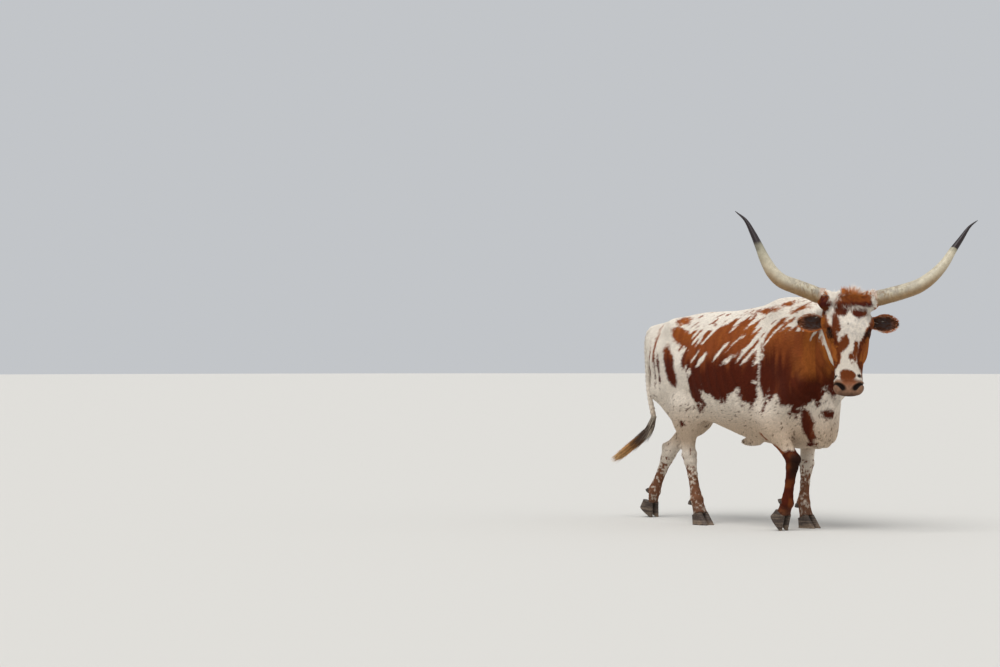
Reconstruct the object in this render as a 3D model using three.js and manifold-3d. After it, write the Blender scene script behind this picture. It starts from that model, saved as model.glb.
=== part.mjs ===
// A Texas longhorn steer, life size, walking with its head turned to its right.
// Millimetres. +X is forward, +Y is the animal's left, +Z is up, and the feet stand on Z = 0.
// The flesh is one smooth field of muscles and bones, meshed and parted with thin flat cuts.
import * as THREE from "three";
import { mergeVertices } from "three/addons/utils/BufferGeometryUtils.js";
import Module from "manifold-3d";

const wasm = await Module();
wasm.setup();

// Driving dimensions
const WITHERS_HEIGHT = 1361;
const GAP = 0.3; // between nodes that touch
const EYE_RADIUS = 21;
const HEAD_YAW = -50; // degrees, to the animal's right
const HEAD_TILT = 73.5; // degrees, nose below the horizon
const HEAD_ROLL = 2.5; // degrees, left side lower
const POLL = [937, -106, 1372]; // top of the skull between the horns
const CLAW_WIDTH = 48;
const CLAW_TOE = 64; // from the middle of the sole to its tip
const CLAW_HEEL = 54;
const CORONET_BACK = 22; // the hoof's top middle, behind the middle of the sole
const CORONET_HEIGHT = 68;
const CORONET_SLOPE = 18; // degrees, lower at the heel
const TOE_WEAR = 4; // what is worn flat off a toe that stands on its tip

// Vectors
const add = (a, b) => [a[0] + b[0], a[1] + b[1], a[2] + b[2]];
const sub = (a, b) => [a[0] - b[0], a[1] - b[1], a[2] - b[2]];
const mul = (a, s) => [a[0] * s, a[1] * s, a[2] * s];
const dot = (a, b) => a[0] * b[0] + a[1] * b[1] + a[2] * b[2];
const cross = (a, b) => [
  a[1] * b[2] - a[2] * b[1],
  a[2] * b[0] - a[0] * b[2],
  a[0] * b[1] - a[1] * b[0],
];
const size = (a) => Math.hypot(a[0], a[1], a[2]);
const unit = (a) => mul(a, 1 / size(a));
const mix = (a, b, t) => a + (b - a) * t;
const mixPoint = (a, b, t) => [0, 1, 2].map((i) => mix(a[i], b[i], t));
const clamp = (x, low, high) => Math.min(high, Math.max(low, x));
const radians = (degrees) => (degrees * Math.PI) / 180;

// Soft joins of distances: k is the width of the blend
function softMin(a, b, k) {
  const h = Math.max(k - Math.abs(a - b), 0) / k;
  return Math.min(a, b) - (h * h * k) / 4;
}
const softMax = (a, b, k) => -softMin(-a, -b, k);

// A smooth curve through a table's rows: each row is [position, value, value, ...]
function tableCurve(rows) {
  const slopes = rows.map((row, i) => {
    const before = rows[Math.max(0, i - 1)];
    const after = rows[Math.min(rows.length - 1, i + 1)];
    return row.map((_, k) => (after[k] - before[k]) / (after[0] - before[0]));
  });
  return (position) => {
    const x = clamp(position, rows[0][0], rows[rows.length - 1][0]);
    let i = 0;
    while (i < rows.length - 2 && x > rows[i + 1][0]) i += 1;
    const step = rows[i + 1][0] - rows[i][0];
    const t = (x - rows[i][0]) / step;
    const weights = [
      2 * t ** 3 - 3 * t ** 2 + 1,
      (t ** 3 - 2 * t ** 2 + t) * step,
      3 * t ** 2 - 2 * t ** 3,
      (t ** 3 - t ** 2) * step,
    ];
    return rows[i].map(
      (value, k) =>
        weights[0] * value +
        weights[1] * slopes[i][k] +
        weights[2] * rows[i + 1][k] +
        weights[3] * slopes[i + 1][k],
    );
  };
}

// A long body along the first axis, whose section is a rounded oval. Rows are
// [along, top, bottom, half width, level of the widest place, upper and lower roundness].
function loft(rows, endBlend) {
  const curve = tableCurve(rows);
  const first = rows[0][0];
  const last = rows[rows.length - 1][0];
  return ([along, across, up]) => {
    const [, top, bottom, wide, level, upperPower, lowerPower] = curve(along);
    const rise = up - level;
    const tall = rise > 0 ? top - level : level - bottom;
    const power = rise > 0 ? upperPower : lowerPower;
    const share = (Math.abs(across / wide) ** power + Math.abs(rise / tall) ** power) ** (1 / power);
    const radial = Math.hypot(across, rise) * (1 - 1 / Math.max(share, 1e-3));
    const inside = share < 1e-3 ? -Math.min(wide, tall) : radial;
    return softMax(inside, Math.max(first - along, along - last), endBlend);
  };
}

// A limb along a path of stations { at, deep, wide }, oval across: wide along `side`, deep across it
function limb(stations, side, k) {
  const pieces = stations.slice(1).map((b, i) => {
    const a = stations[i];
    const span = sub(b.at, a.at);
    const axis = unit(span);
    const across = unit(sub(side, mul(axis, dot(side, axis))));
    return { a, b, span, axis, across, fore: cross(across, axis) };
  });
  const one = ({ a, b, span, axis, across, fore }, p) => {
    const t = clamp(dot(sub(p, a.at), span) / dot(span, span), 0, 1);
    const local = sub(p, add(a.at, mul(span, t)));
    const deep = mix(a.deep, b.deep, t);
    const wide = mix(a.wide, b.wide, t);
    const share = Math.hypot(
      dot(local, fore) / deep,
      dot(local, across) / wide,
      dot(local, axis) / Math.min(deep, wide),
    );
    return share < 1e-3 ? -Math.min(deep, wide) : size(local) * (1 - 1 / share);
  };
  return (p) => pieces.reduce((d, piece) => softMin(d, one(piece, p), k), 1e4);
}

function ellipsoid(centre, radii) {
  return (p) => {
    const q = sub(p, centre);
    const k0 = Math.hypot(q[0] / radii[0], q[1] / radii[1], q[2] / radii[2]);
    const k1 = Math.hypot(q[0] / radii[0] ** 2, q[1] / radii[1] ** 2, q[2] / radii[2] ** 2);
    return k1 < 1e-9 ? -Math.min(...radii) : (k0 * (k0 - 1)) / k1;
  };
}

// Trunk: [x, spine, belly, half width, level of the widest rib, roundness above and below]
const TRUNK = [
  [-735, 1110, 1040, 34, 1075, 2.0, 2.0],
  [-690, 1162, 930, 78, 1065, 2.0, 2.0],
  [-610, 1220, 810, 138, 1050, 1.9, 2.0],
  [-500, 1250, 715, 192, 1035, 1.7, 2.0],
  [-400, 1268, 672, 234, 1010, 1.75, 2.0],
  [-250, 1288, 638, 264, 950, 1.85, 2.1],
  [-115, 1293, 597, 284, 905, 1.95, 2.1],
  [0, 1297, 560, 290, 885, 1.95, 2.1],
  [126, 1312, 522, 284, 875, 1.85, 2.1],
  [250, 1334, 502, 262, 865, 1.7, 2.1],
  [350, 1353, 488, 238, 860, 1.55, 2.1],
  [415, WITHERS_HEIGHT, 480, 222, 855, 1.5, 2.1],
  [516, 1345, 476, 204, 845, 1.6, 2.0],
  [613, 1290, 502, 178, 830, 1.8, 2.0],
  [690, 1180, 560, 132, 800, 2.0, 2.0],
  [748, 960, 655, 70, 790, 2.0, 2.0],
];

// Neck, from the withers to behind the poll
const NECK = [
  { at: [420, 0, 1040], deep: 300, wide: 168 },
  { at: [590, -2, 1082], deep: 250, wide: 138 },
  { at: [720, -12, 1130], deep: 198, wide: 118 },
  { at: [820, -32, 1185], deep: 158, wide: 106 },
  { at: [872, -48, 1215], deep: 134, wide: 98 },
];

// Each leg's joints, from the body down, as it stands in the walk. The side is +1 for left.
// `sole` is the middle of the hoof's sole along x and y, and `pitch` how far it tips on its toe.
const FORE_LEFT = {
  name: "leg_fore_left",
  side: 1,
  shoulder: [600, 168, 850],
  elbow: [405, 180, 650],
  knee: [410, 142, 385],
  fetlock: [388, 140, 150],
  sole: [432, 140],
  pitch: 0,
};
const FORE_RIGHT = {
  name: "leg_fore_right",
  side: -1,
  shoulder: [612, -168, 850],
  elbow: [405, -182, 645],
  knee: [555, -150, 420],
  fetlock: [500, -140, 165],
  sole: [437, -140],
  pitch: 50,
};
const HIND_LEFT = {
  name: "leg_hind_left",
  side: 1,
  hip: [-470, 125, 1010],
  stifle: [-390, 172, 715],
  hock: [-700, 130, 410],
  fetlock: [-822, 125, 168],
  sole: [-869, 125],
  pitch: 35,
};
const HIND_RIGHT = {
  name: "leg_hind_right",
  side: -1,
  hip: [-470, -125, 1010],
  stifle: [-262, -182, 720],
  hock: [-278, -140, 425],
  fetlock: [-222, -135, 150],
  sole: [-170, -135],
  pitch: 0,
};

// A foot's own axes, tipped by its pitch, and the middle of the band where hair meets horn
function footOf({ sole, pitch }) {
  const angle = radians(pitch);
  const ahead = [Math.cos(angle), 0, -Math.sin(angle)];
  const up = [Math.sin(angle), 0, Math.cos(angle)];
  const lift = pitch ? CLAW_TOE * Math.sin(angle) - TOE_WEAR : 0;
  const origin = [sole[0], sole[1], lift];
  const coronet = add(origin, add(mul(ahead, -CORONET_BACK), mul(up, CORONET_HEIGHT)));
  const slope = radians(CORONET_SLOPE);
  const bandNormal = add(mul(up, Math.cos(slope)), mul(ahead, -Math.sin(slope)));
  return { origin, ahead, up, coronet, bandNormal };
}

const SIDEWAYS = [0, 1, 0];

function foreLeg(leg) {
  const { side, shoulder, elbow, knee, fetlock } = leg;
  const { coronet } = footOf(leg);
  const forearm = (t) => mixPoint(elbow, knee, t);
  const cannon = (t) => mixPoint(knee, fetlock, t);
  const blade = [
    { at: [395, 84 * side, 1280], deep: 60, wide: 40 },
    { at: [455, 150 * side, 1090], deep: 118, wide: 60 },
    { at: shoulder, deep: 96, wide: 66 },
  ];
  const arm = [
    { at: shoulder, deep: 98, wide: 70 },
    { at: add(elbow, [0, 0, 20]), deep: 88, wide: 62 },
    { at: forearm(0.2), deep: 80, wide: 56 },
  ];
  const lower = [
    { at: forearm(0.1), deep: 80, wide: 56 },
    { at: forearm(0.45), deep: 62, wide: 50 },
    { at: forearm(0.82), deep: 42, wide: 38 },
    { at: knee, deep: 45, wide: 43 },
    { at: cannon(0.18), deep: 37, wide: 34 },
    { at: cannon(0.5), deep: 30, wide: 25 },
    { at: cannon(0.85), deep: 32, wide: 28 },
    { at: fetlock, deep: 39, wide: 39 },
    { at: mixPoint(fetlock, coronet, 0.6), deep: 33, wide: 37 },
    { at: coronet, deep: 40, wide: 47 },
  ];
  const parts = [limb(blade, SIDEWAYS, 60), limb(arm, SIDEWAYS, 50), limb(lower, SIDEWAYS, 12)];
  const elbowPoint = ellipsoid(add(elbow, [-52, 0, 12]), [40, 30, 45]);
  return (p) => softMin(parts.reduce((d, part) => softMin(d, part(p), 45), 1e4), elbowPoint(p), 40);
}

function hindLeg(leg) {
  const { side, hip, stifle, hock, fetlock } = leg;
  const { coronet } = footOf(leg);
  const thigh = (t) => mixPoint(hip, stifle, t);
  const gaskin = (t) => mixPoint(stifle, hock, t);
  const cannon = (t) => mixPoint(hock, fetlock, t);
  const down = unit(sub(fetlock, hock));
  const heel = add(hock, add(mul(down, -34), [-46, 0, 12]));
  const upper = [
    { at: hip, deep: 140, wide: 84 },
    { at: thigh(0.55), deep: 150, wide: 76 },
    { at: stifle, deep: 96, wide: 66 },
    { at: gaskin(0.35), deep: 84, wide: 56 },
  ];
  const hamstring = [
    { at: [-600, 80 * side, 1060], deep: 60, wide: 52 },
    { at: mixPoint([-610, 112 * side, 880], gaskin(0.2), 0.3), deep: 84, wide: 60 },
    { at: gaskin(0.4), deep: 70, wide: 48 },
  ];
  const lower = [
    { at: gaskin(0.25), deep: 88, wide: 58 },
    { at: gaskin(0.6), deep: 62, wide: 46 },
    { at: gaskin(0.88), deep: 40, wide: 35 },
    { at: hock, deep: 50, wide: 40 },
    { at: cannon(0.16), deep: 42, wide: 34 },
    { at: cannon(0.45), deep: 32, wide: 26 },
    { at: cannon(0.85), deep: 33, wide: 29 },
    { at: fetlock, deep: 40, wide: 40 },
    { at: mixPoint(fetlock, coronet, 0.6), deep: 34, wide: 38 },
    { at: coronet, deep: 41, wide: 47 },
  ];
  const tendon = [
    { at: mixPoint(gaskin(0.5), heel, 0.25), deep: 34, wide: 26 },
    { at: mixPoint(gaskin(0.7), heel, 0.75), deep: 18, wide: 17 },
    { at: heel, deep: 22, wide: 22 },
  ];
  const parts = [limb(upper, SIDEWAYS, 60), limb(hamstring, SIDEWAYS, 60), limb(lower, SIDEWAYS, 12)];
  const cord = limb(tendon, SIDEWAYS, 15);
  return (p) => softMin(parts.reduce((d, part) => softMin(d, part(p), 50), 1e4), cord(p), 26);
}

const FORE_LEGS = [FORE_LEFT, FORE_RIGHT];
const HIND_LEGS = [HIND_LEFT, HIND_RIGHT];
const legFields = new Map([
  ...FORE_LEGS.map((leg) => [leg, foreLeg(leg)]),
  ...HIND_LEGS.map((leg) => [leg, hindLeg(leg)]),
]);

// Tail, from the rump down, and its switch, which swings back. Radii are [along, radius].
const TAIL_PATH = [
  [-640, 0, 1170],
  [-715, 0, 1160],
  [-756, 0, 1095],
  [-760, 0, 950],
  [-748, -2, 800],
  [-718, -6, 690],
  [-700, -8, 640],
];
const TAIL_RADIUS = [
  [0, 38],
  [0.15, 34],
  [0.3, 23],
  [0.6, 19],
  [1, 18],
];
const SWITCH_PATH = [
  [-700, -8, 640],
  [-712, -14, 590],
  [-775, -22, 520],
  [-860, -34, 455],
  [-935, -44, 405],
  [-990, -52, 368],
];
const SWITCH_RADIUS = [
  [0, 18],
  [0.25, 19],
  [0.6, 17],
  [0.85, 10],
  [1, 3],
];
const SWITCH_LOCKS = 14;

const trunkLoft = loft(TRUNK, 90);
const neckField = limb(NECK, SIDEWAYS, 60);
const trunkBones = [-1, 1].flatMap((side) => [
  { field: ellipsoid([-395, 122 * side, 1190], [78, 58, 50]), k: 80 }, // hook bone
  { field: ellipsoid([-650, 72 * side, 1115], [42, 34, 42]), k: 60 }, // pin bone
  { field: ellipsoid([-215, 185 * side, 690], [120, 40, 62]), k: 90 }, // fold of the flank
]);
const trunkMasses = [
  { field: ellipsoid([655, 0, 585], [85, 84, 92]), k: 90 }, // brisket
  { field: ellipsoid([720, -4, 860], [80, 34, 150]), k: 70 }, // dewlap
  { field: ellipsoid([105, 0, 508], [80, 30, 26]), k: 40 }, // sheath
  { field: ellipsoid([-655, 0, 1165], [70, 48, 34]), k: 60 }, // tail head
];
const flankHollow = [-1, 1].map((side) => ellipsoid([-275, 318 * side, 1095], [115, 75, 100]));
const rumpHollow = ellipsoid([-745, 0, 960], [60, 30, 130]);

function trunkField(p) {
  let d = trunkLoft(p);
  for (const { field, k } of trunkBones) d = softMin(d, field(p), k);
  for (const { field, k } of trunkMasses) d = softMin(d, field(p), k);
  for (const hollow of flankHollow) d = softMax(d, -hollow(p), 60);
  d = softMin(d, neckField(p), 110);
  return softMax(d, -rumpHollow(p), 50);
}

// Head, in its own frame: a runs from the poll down the nose, b to its left, c out of the forehead
const yaw = radians(HEAD_YAW);
const tilt = radians(HEAD_TILT);
const roll = radians(HEAD_ROLL);
const nose = [Math.cos(tilt) * Math.cos(yaw), Math.cos(tilt) * Math.sin(yaw), -Math.sin(tilt)];
const levelLeft = [-Math.sin(yaw), Math.cos(yaw), 0];
const levelOut = cross(nose, levelLeft);
const left = add(mul(levelLeft, Math.cos(roll)), mul(levelOut, -Math.sin(roll)));
const out = cross(nose, left);
const toHead = (p) => {
  const q = sub(p, POLL);
  return [dot(q, nose), dot(q, left), dot(q, out)];
};
const fromHead = ([a, b, c]) => add(POLL, add(mul(nose, a), add(mul(left, b), mul(out, c))));

// Head: [a, forehead and nose line, jaw line, half width, level of the widest place, roundness]
const HEAD = [
  [-30, -34, -118, 84, -70, 2.0, 2.0],
  [20, 2, -165, 118, -72, 2.3, 2.0],
  [80, 16, -208, 124, -72, 2.6, 2.0],
  [150, 20, -240, 120, -66, 2.7, 1.9],
  [215, 16, -252, 111, -68, 2.6, 1.8],
  [290, 4, -228, 99, -74, 2.5, 1.9],
  [370, -8, -194, 88, -78, 2.4, 2.0],
  [440, -20, -168, 80, -82, 2.4, 2.2],
  [502, -30, -154, 82, -88, 2.5, 2.4],
  [544, -46, -140, 73, -92, 2.4, 2.3],
  [568, -70, -118, 48, -94, 2.2, 2.2],
];
const headLoft = loft(HEAD, 26);
const crest = limb(
  [
    { at: [16, -126, -46], deep: 46, wide: 46 },
    { at: [2, 0, -40], deep: 44, wide: 50 },
    { at: [16, 126, -46], deep: 46, wide: 46 },
  ],
  [0, 0, 1],
  30,
);
const EYE = [214, 98, -28]; // the left eye's centre
const EYE_AXIS = unit([-0.02, 0.73, 0.68]);
const headMasses = [-1, 1].flatMap((side) => [
  { field: ellipsoid([202, 94 * side, -38], [54, 32, 42]), k: 34 }, // brow and orbit
  { field: ellipsoid([262, 78 * side, -160], [92, 36, 70]), k: 60 }, // cheek muscle
  { field: ellipsoid([135, 108 * side, -96], [42, 40, 40]), k: 40 }, // root of the ear
  { field: ellipsoid([14, 132 * side, -44], [56, 48, 56]), k: 30 }, // boss of the horn
  { field: ellipsoid([530, 54 * side, -64], [36, 28, 30]), k: 26 }, // wing of the nostril
]);
const muzzleMasses = [
  { field: ellipsoid([534, 0, -80], [40, 73, 40]), k: 24 }, // upper lip
  { field: ellipsoid([512, 0, -144], [44, 55, 22]), k: 22 }, // chin and lower lip
];

function headField(p) {
  const q = toHead(p);
  let d = softMin(headLoft(q), crest(q), 44);
  for (const { field, k } of headMasses) d = softMin(d, field(q), k);
  for (const { field, k } of muzzleMasses) d = softMin(d, field(q), k);
  return d;
}

// Where the corners of a grid square are in and out by turns, two sheets would share an edge, so
// the outside corner that lies nearest to the surface is taken in
function fillSaddles(values, count) {
  const stride = [1, count[0], count[0] * count[1]];
  let changed = true;
  while (changed) {
    changed = false;
    for (let axis = 0; axis < 3; axis += 1) {
      const u = (axis + 1) % 3;
      const v = (axis + 2) % 3;
      const spot = [0, 0, 0];
      for (spot[axis] = 0; spot[axis] < count[axis]; spot[axis] += 1)
        for (spot[u] = 0; spot[u] < count[u] - 1; spot[u] += 1)
          for (spot[v] = 0; spot[v] < count[v] - 1; spot[v] += 1) {
            const a = dot(spot, stride);
            const ring = [a, a + stride[u], a + stride[u] + stride[v], a + stride[v]];
            const inside = ring.map((n) => values[n] < 0);
            if (inside[0] !== inside[2] || inside[1] !== inside[3] || inside[0] === inside[1]) continue;
            const outside = ring.filter((n) => values[n] >= 0);
            const nearest = values[outside[0]] < values[outside[1]] ? outside[0] : outside[1];
            values[nearest] = -1;
            changed = true;
          }
    }
  }
}

// Surface nets: one vertex in each cell that the surface crosses, drawn onto the surface.
// The grid's border counts as outside, so what it cuts off is closed there. `place` carries the
// points from the grid's own frame to the body's.
const BORDER = 20;
function polygonise(field, { low, high, cell }, place = (p) => p) {
  const count = [0, 1, 2].map((i) => Math.ceil((high[i] - low[i]) / cell[i]) + 1);
  const at = (i, j, k) => [low[0] + i * cell[0], low[1] + j * cell[1], low[2] + k * cell[2]];
  const index = (i, j, k) => (k * count[1] + j) * count[0] + i;
  const values = new Float64Array(count[0] * count[1] * count[2]);
  for (let k = 0; k < count[2]; k += 1)
    for (let j = 0; j < count[1]; j += 1)
      for (let i = 0; i < count[0]; i += 1) {
        const edge = [i, j, k].some((n, axis) => n === 0 || n === count[axis] - 1);
        values[index(i, j, k)] = edge ? BORDER : field(at(i, j, k));
      }
  fillSaddles(values, count);
  const points = [];
  const cellVertex = new Int32Array(values.length).fill(-1);
  const corners = [0, 1, 2, 3, 4, 5, 6, 7].map((n) => [n & 1, (n >> 1) & 1, n >> 2]);
  const edges = corners.flatMap((a, i) =>
    corners.flatMap((b, j) => (j > i && size(sub(a, b)) === 1 ? [[a, b]] : [])),
  );
  for (let k = 0; k < count[2] - 1; k += 1)
    for (let j = 0; j < count[1] - 1; j += 1)
      for (let i = 0; i < count[0] - 1; i += 1) {
        const found = [];
        for (const [a, b] of edges) {
          const va = values[index(i + a[0], j + a[1], k + a[2])];
          const vb = values[index(i + b[0], j + b[1], k + b[2])];
          if (va < 0 === vb < 0) continue;
          found.push(mixPoint(a, b, va / (va - vb)));
        }
        if (!found.length) continue;
        const mean = mul(found.reduce(add), 1 / found.length);
        const start = add(at(i, j, k), [mean[0] * cell[0], mean[1] * cell[1], mean[2] * cell[2]]);
        cellVertex[index(i, j, k)] = points.length;
        points.push(drawOnto(field, start, cell));
      }
  const triangles = [];
  const steps = [
    [1, 0, 0],
    [0, 1, 0],
    [0, 0, 1],
  ];
  for (let k = 0; k < count[2] - 1; k += 1)
    for (let j = 0; j < count[1] - 1; j += 1)
      for (let i = 0; i < count[0] - 1; i += 1)
        for (let axis = 0; axis < 3; axis += 1) {
          const here = [i, j, k];
          if (here[(axis + 1) % 3] === 0 || here[(axis + 2) % 3] === 0) continue;
          const inside = values[index(...here)] < 0;
          if (inside === values[index(...add(here, steps[axis]))] < 0) continue;
          const u = steps[(axis + 1) % 3];
          const v = steps[(axis + 2) % 3];
          const ring = [add(u, v), v, [0, 0, 0], u].map(
            (back) => cellVertex[index(...sub(here, back))],
          );
          if (!inside) ring.reverse();
          const [a, b, c, d] = ring;
          const flip = size(sub(points[a], points[c])) > size(sub(points[b], points[d]));
          triangles.push(...(flip ? [a, b, d, b, c, d] : [a, b, c, a, c, d]));
        }
  return meshSolid(points.map(place), triangles);
}

// Newton steps from a cell's middle to the surface, kept inside the cell
function drawOnto(field, start, cell) {
  let p = start;
  for (let turn = 0; turn < 4; turn += 1) {
    const value = field(p);
    const slope = [0, 1, 2].map((i) => {
      const beyond = [...p];
      beyond[i] += 0.5;
      return (field(beyond) - value) / 0.5;
    });
    const steep = Math.max(dot(slope, slope), 0.05);
    p = p.map((x, i) => {
      const moved = x - (value * slope[i]) / steep;
      return clamp(moved, start[i] - 0.45 * cell[i], start[i] + 0.45 * cell[i]);
    });
  }
  return p;
}

function meshSolid(points, triangles) {
  return new wasm.Manifold(
    new wasm.Mesh({
      numProp: 3,
      vertProperties: Float32Array.from(points.flat()),
      triVerts: Uint32Array.from(triangles),
    }),
  );
}

// Solids from three.js geometry, and back
function solidOf(geometry, matrix) {
  const bare = geometry.clone();
  bare.deleteAttribute("normal");
  bare.deleteAttribute("uv");
  if (matrix) bare.applyMatrix4(matrix);
  const merged = mergeVertices(bare, 1e-3);
  return new wasm.Manifold(
    new wasm.Mesh({
      numProp: 3,
      vertProperties: Float32Array.from(merged.attributes.position.array),
      triVerts: Uint32Array.from(merged.index.array),
    }),
  );
}

function geometryOf(solid) {
  const mesh = solid.getMesh();
  return new THREE.BufferGeometry()
    .setAttribute("position", new THREE.BufferAttribute(mesh.vertProperties, 3))
    .setIndex(new THREE.BufferAttribute(mesh.triVerts, 1));
}

const largest = (solid) =>
  solid.decompose().reduce((a, b) => (a.volume() > b.volume() ? a : b));
const vector = (p) => new THREE.Vector3(...p);

// A box that fills the side of a plane which `normal` points into
function halfSpace(point, normal, reach = 3000) {
  const turn = new THREE.Quaternion().setFromUnitVectors(
    new THREE.Vector3(0, 0, 1),
    vector(unit(normal)),
  );
  const centre = add(point, mul(unit(normal), reach / 2));
  const matrix = new THREE.Matrix4().compose(vector(centre), turn, new THREE.Vector3(1, 1, 1));
  return solidOf(new THREE.BoxGeometry(2 * reach, 2 * reach, reach), matrix);
}

// The part of a solid on the side that the normal points into, half a gap clear of the plane
const keepSide = (solid, point, normal) =>
  solid.intersect(halfSpace(add(point, mul(unit(normal), GAP / 2)), normal));

// A closed skin over rings of points, all of one length, with a fan on each end
function skinRings(rings) {
  const count = rings[0].length;
  const points = rings.flat();
  const triangles = [];
  for (let r = 0; r < rings.length - 1; r += 1)
    for (let i = 0; i < count; i += 1) {
      const a = r * count + i;
      const b = r * count + ((i + 1) % count);
      triangles.push(a, b, b + count, a, b + count, a + count);
    }
  const startCentre = points.length;
  points.push(mul(rings[0].reduce(add), 1 / count));
  const endCentre = points.length;
  points.push(mul(rings[rings.length - 1].reduce(add), 1 / count));
  const lastRing = (rings.length - 1) * count;
  for (let i = 0; i < count; i += 1) {
    const next = (i + 1) % count;
    triangles.push(startCentre, next, i, endCentre, lastRing + i, lastRing + next);
  }
  const solid = meshSolid(points, triangles);
  if (solid.volume() > 0) return solid;
  const turned = [];
  for (let i = 0; i < triangles.length; i += 3)
    turned.push(triangles[i], triangles[i + 2], triangles[i + 1]);
  return meshSolid(points, turned);
}

// Repeatable draws for what varies from piece to piece
function drawsFrom(seed) {
  let state = seed;
  return () => {
    state = (state * 1664525 + 1013904223) % 4294967296;
    return state / 4294967296;
  };
}

// A flat tapered lock of hair that leaves `root` along `along` and bends towards `lie`
const LOCK_STEPS = 3;
const LOCK_BEND = 0.85; // how much of the way from `along` to `lie` the tip has turned
function lock({ root, along, lie, face, length, width, thickness }) {
  const rings = [];
  let point = root;
  for (let s = 0; s <= LOCK_STEPS; s += 1) {
    const t = s / LOCK_STEPS;
    const bend = LOCK_BEND * t;
    const way = unit(add(mul(unit(along), 1 - bend), mul(unit(lie), bend)));
    if (s) point = add(point, mul(way, length / LOCK_STEPS));
    const across = unit(cross(face, way));
    const normal = cross(way, across);
    const half = (width / 2) * Math.max(1 - t ** 1.7, 0.1);
    const thick = (thickness / 2) * Math.max(1 - t ** 2, 0.16);
    rings.push([
      add(point, mul(across, half)),
      add(point, mul(normal, thick)),
      add(point, mul(across, -half)),
      add(point, mul(normal, -thick)),
    ]);
  }
  return skinRings(rings);
}

// Horns. Each centreline is a list of [outwards, upwards, forwards] from the poll.
const HORN_RIGHT_PATH = [
  [140, -2, -44],
  [183, 5, -40],
  [215, 19, -28],
  [298, 51, 0],
  [383, 85, 22],
  [435, 133, 30],
  [481, 211, 26],
  [513, 283, 12],
  [549, 360, -8],
  [593, 438, -30],
  [652, 490, -44],
];
const HORN_LEFT_PATH = [
  [130, -18, -44],
  [170, -13, -40],
  [200, -6, -28],
  [303, 22, 2],
  [395, 55, 24],
  [473, 110, 32],
  [537, 179, 26],
  [587, 257, 10],
  [632, 321, -10],
  [684, 394, -32],
  [729, 430, -44],
];
// [along, radius]
const HORN_RADIUS = [
  [0, 46],
  [0.3, 42],
  [0.45, 37],
  [0.64, 25],
  [0.85, 13],
  [1, 1.8],
];

// A round piece along a path, grown by `clear` all round, which makes the seat for it
function sweptRound(path, radii, sides, steps, clear = 0) {
  const curve = new THREE.CatmullRomCurve3(path.map(vector), false, "centripetal");
  const frames = curve.computeFrenetFrames(steps, false);
  const radiusAt = tableCurve(radii);
  const rings = [];
  for (let s = 0; s <= steps; s += 1) {
    const centre = curve.getPointAt(s / steps);
    if (s === 0) centre.addScaledVector(frames.tangents[0], -clear);
    const radius = radiusAt(s / steps)[1] + clear;
    rings.push(
      Array.from({ length: sides }, (_, i) => {
        const angle = (2 * Math.PI * i) / sides;
        return centre
          .clone()
          .addScaledVector(frames.normals[s], radius * Math.cos(angle))
          .addScaledVector(frames.binormals[s], radius * Math.sin(angle))
          .toArray();
      }),
    );
  }
  return skinRings(rings);
}

const HORN_SIDES = 12;
const HORN_STEPS = 20;
const headAhead = [Math.cos(yaw), Math.sin(yaw), 0];
const hornPoint = (side) => ([outwards, upwards, forwards]) =>
  add(POLL, add(mul(levelLeft, outwards * side), add(mul(headAhead, forwards), [0, 0, upwards])));
const horn = (path, side, clear) =>
  sweptRound(path.map(hornPoint(side)), HORN_RADIUS, HORN_SIDES, HORN_STEPS, clear);

// Ear: a leaf-shaped cup that opens forwards. With `clear` it is the seat in the head, filled.
const EAR_ROOT = [136, 104, -92];
const EAR_LENGTH = 188;
const EAR_SHEET = [9, 4]; // thickness at the root and at the tip
const EAR_SEAT = 1; // clear all round where the ear sits in the head
const EAR_ALONG = [-0.03, 0.98, -0.14];
const EAR_FACING = [0.1, 0.12, 0.98];
const EAR_ACROSS = [-1, -0.66, -0.33, 0, 0.33, 0.66, 1];
const EAR_STEPS = 11;
const EAR_CLOSED = 0.2; // the share of its length over which the cup opens
// [along, half width, depth of the cup]
const EAR_LEAF = [
  [0, 26, 20],
  [0.25, 36, 26],
  [0.5, 52, 28],
  [0.75, 43, 18],
  [0.9, 25, 8],
  [1, 6, 2],
];

function ear(side, clear = 0) {
  const along = unit([EAR_ALONG[0], EAR_ALONG[1] * side, EAR_ALONG[2]]);
  const facing = [EAR_FACING[0], EAR_FACING[1] * side, EAR_FACING[2]];
  const open = unit(sub(facing, mul(along, dot(facing, along))));
  const wide = cross(along, open);
  const root = add([EAR_ROOT[0], EAR_ROOT[1] * side, EAR_ROOT[2]], mul(along, -clear));
  const leaf = tableCurve(EAR_LEAF);
  const rings = [];
  for (let s = 0; s <= EAR_STEPS; s += 1) {
    const t = s / EAR_STEPS;
    const [, half, cup] = leaf(t);
    const centre = add(root, mul(along, EAR_LENGTH * t));
    const sheet = mix(...EAR_SHEET, t) / 2 + clear;
    const filled = clear ? 1 : Math.max(0, 1 - t / EAR_CLOSED);
    const place = (x, z) => fromHead(add(centre, add(mul(wide, (half + clear) * x), mul(open, z))));
    const back = EAR_ACROSS.map((x) => place(x, -cup * (1 - x * x) - sheet));
    const front = EAR_ACROSS.map((x) => place(x, -cup * (1 - x * x) * (1 - filled) + sheet));
    rings.push([...back, ...front.reverse()]);
  }
  return skinRings(rings);
}

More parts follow.
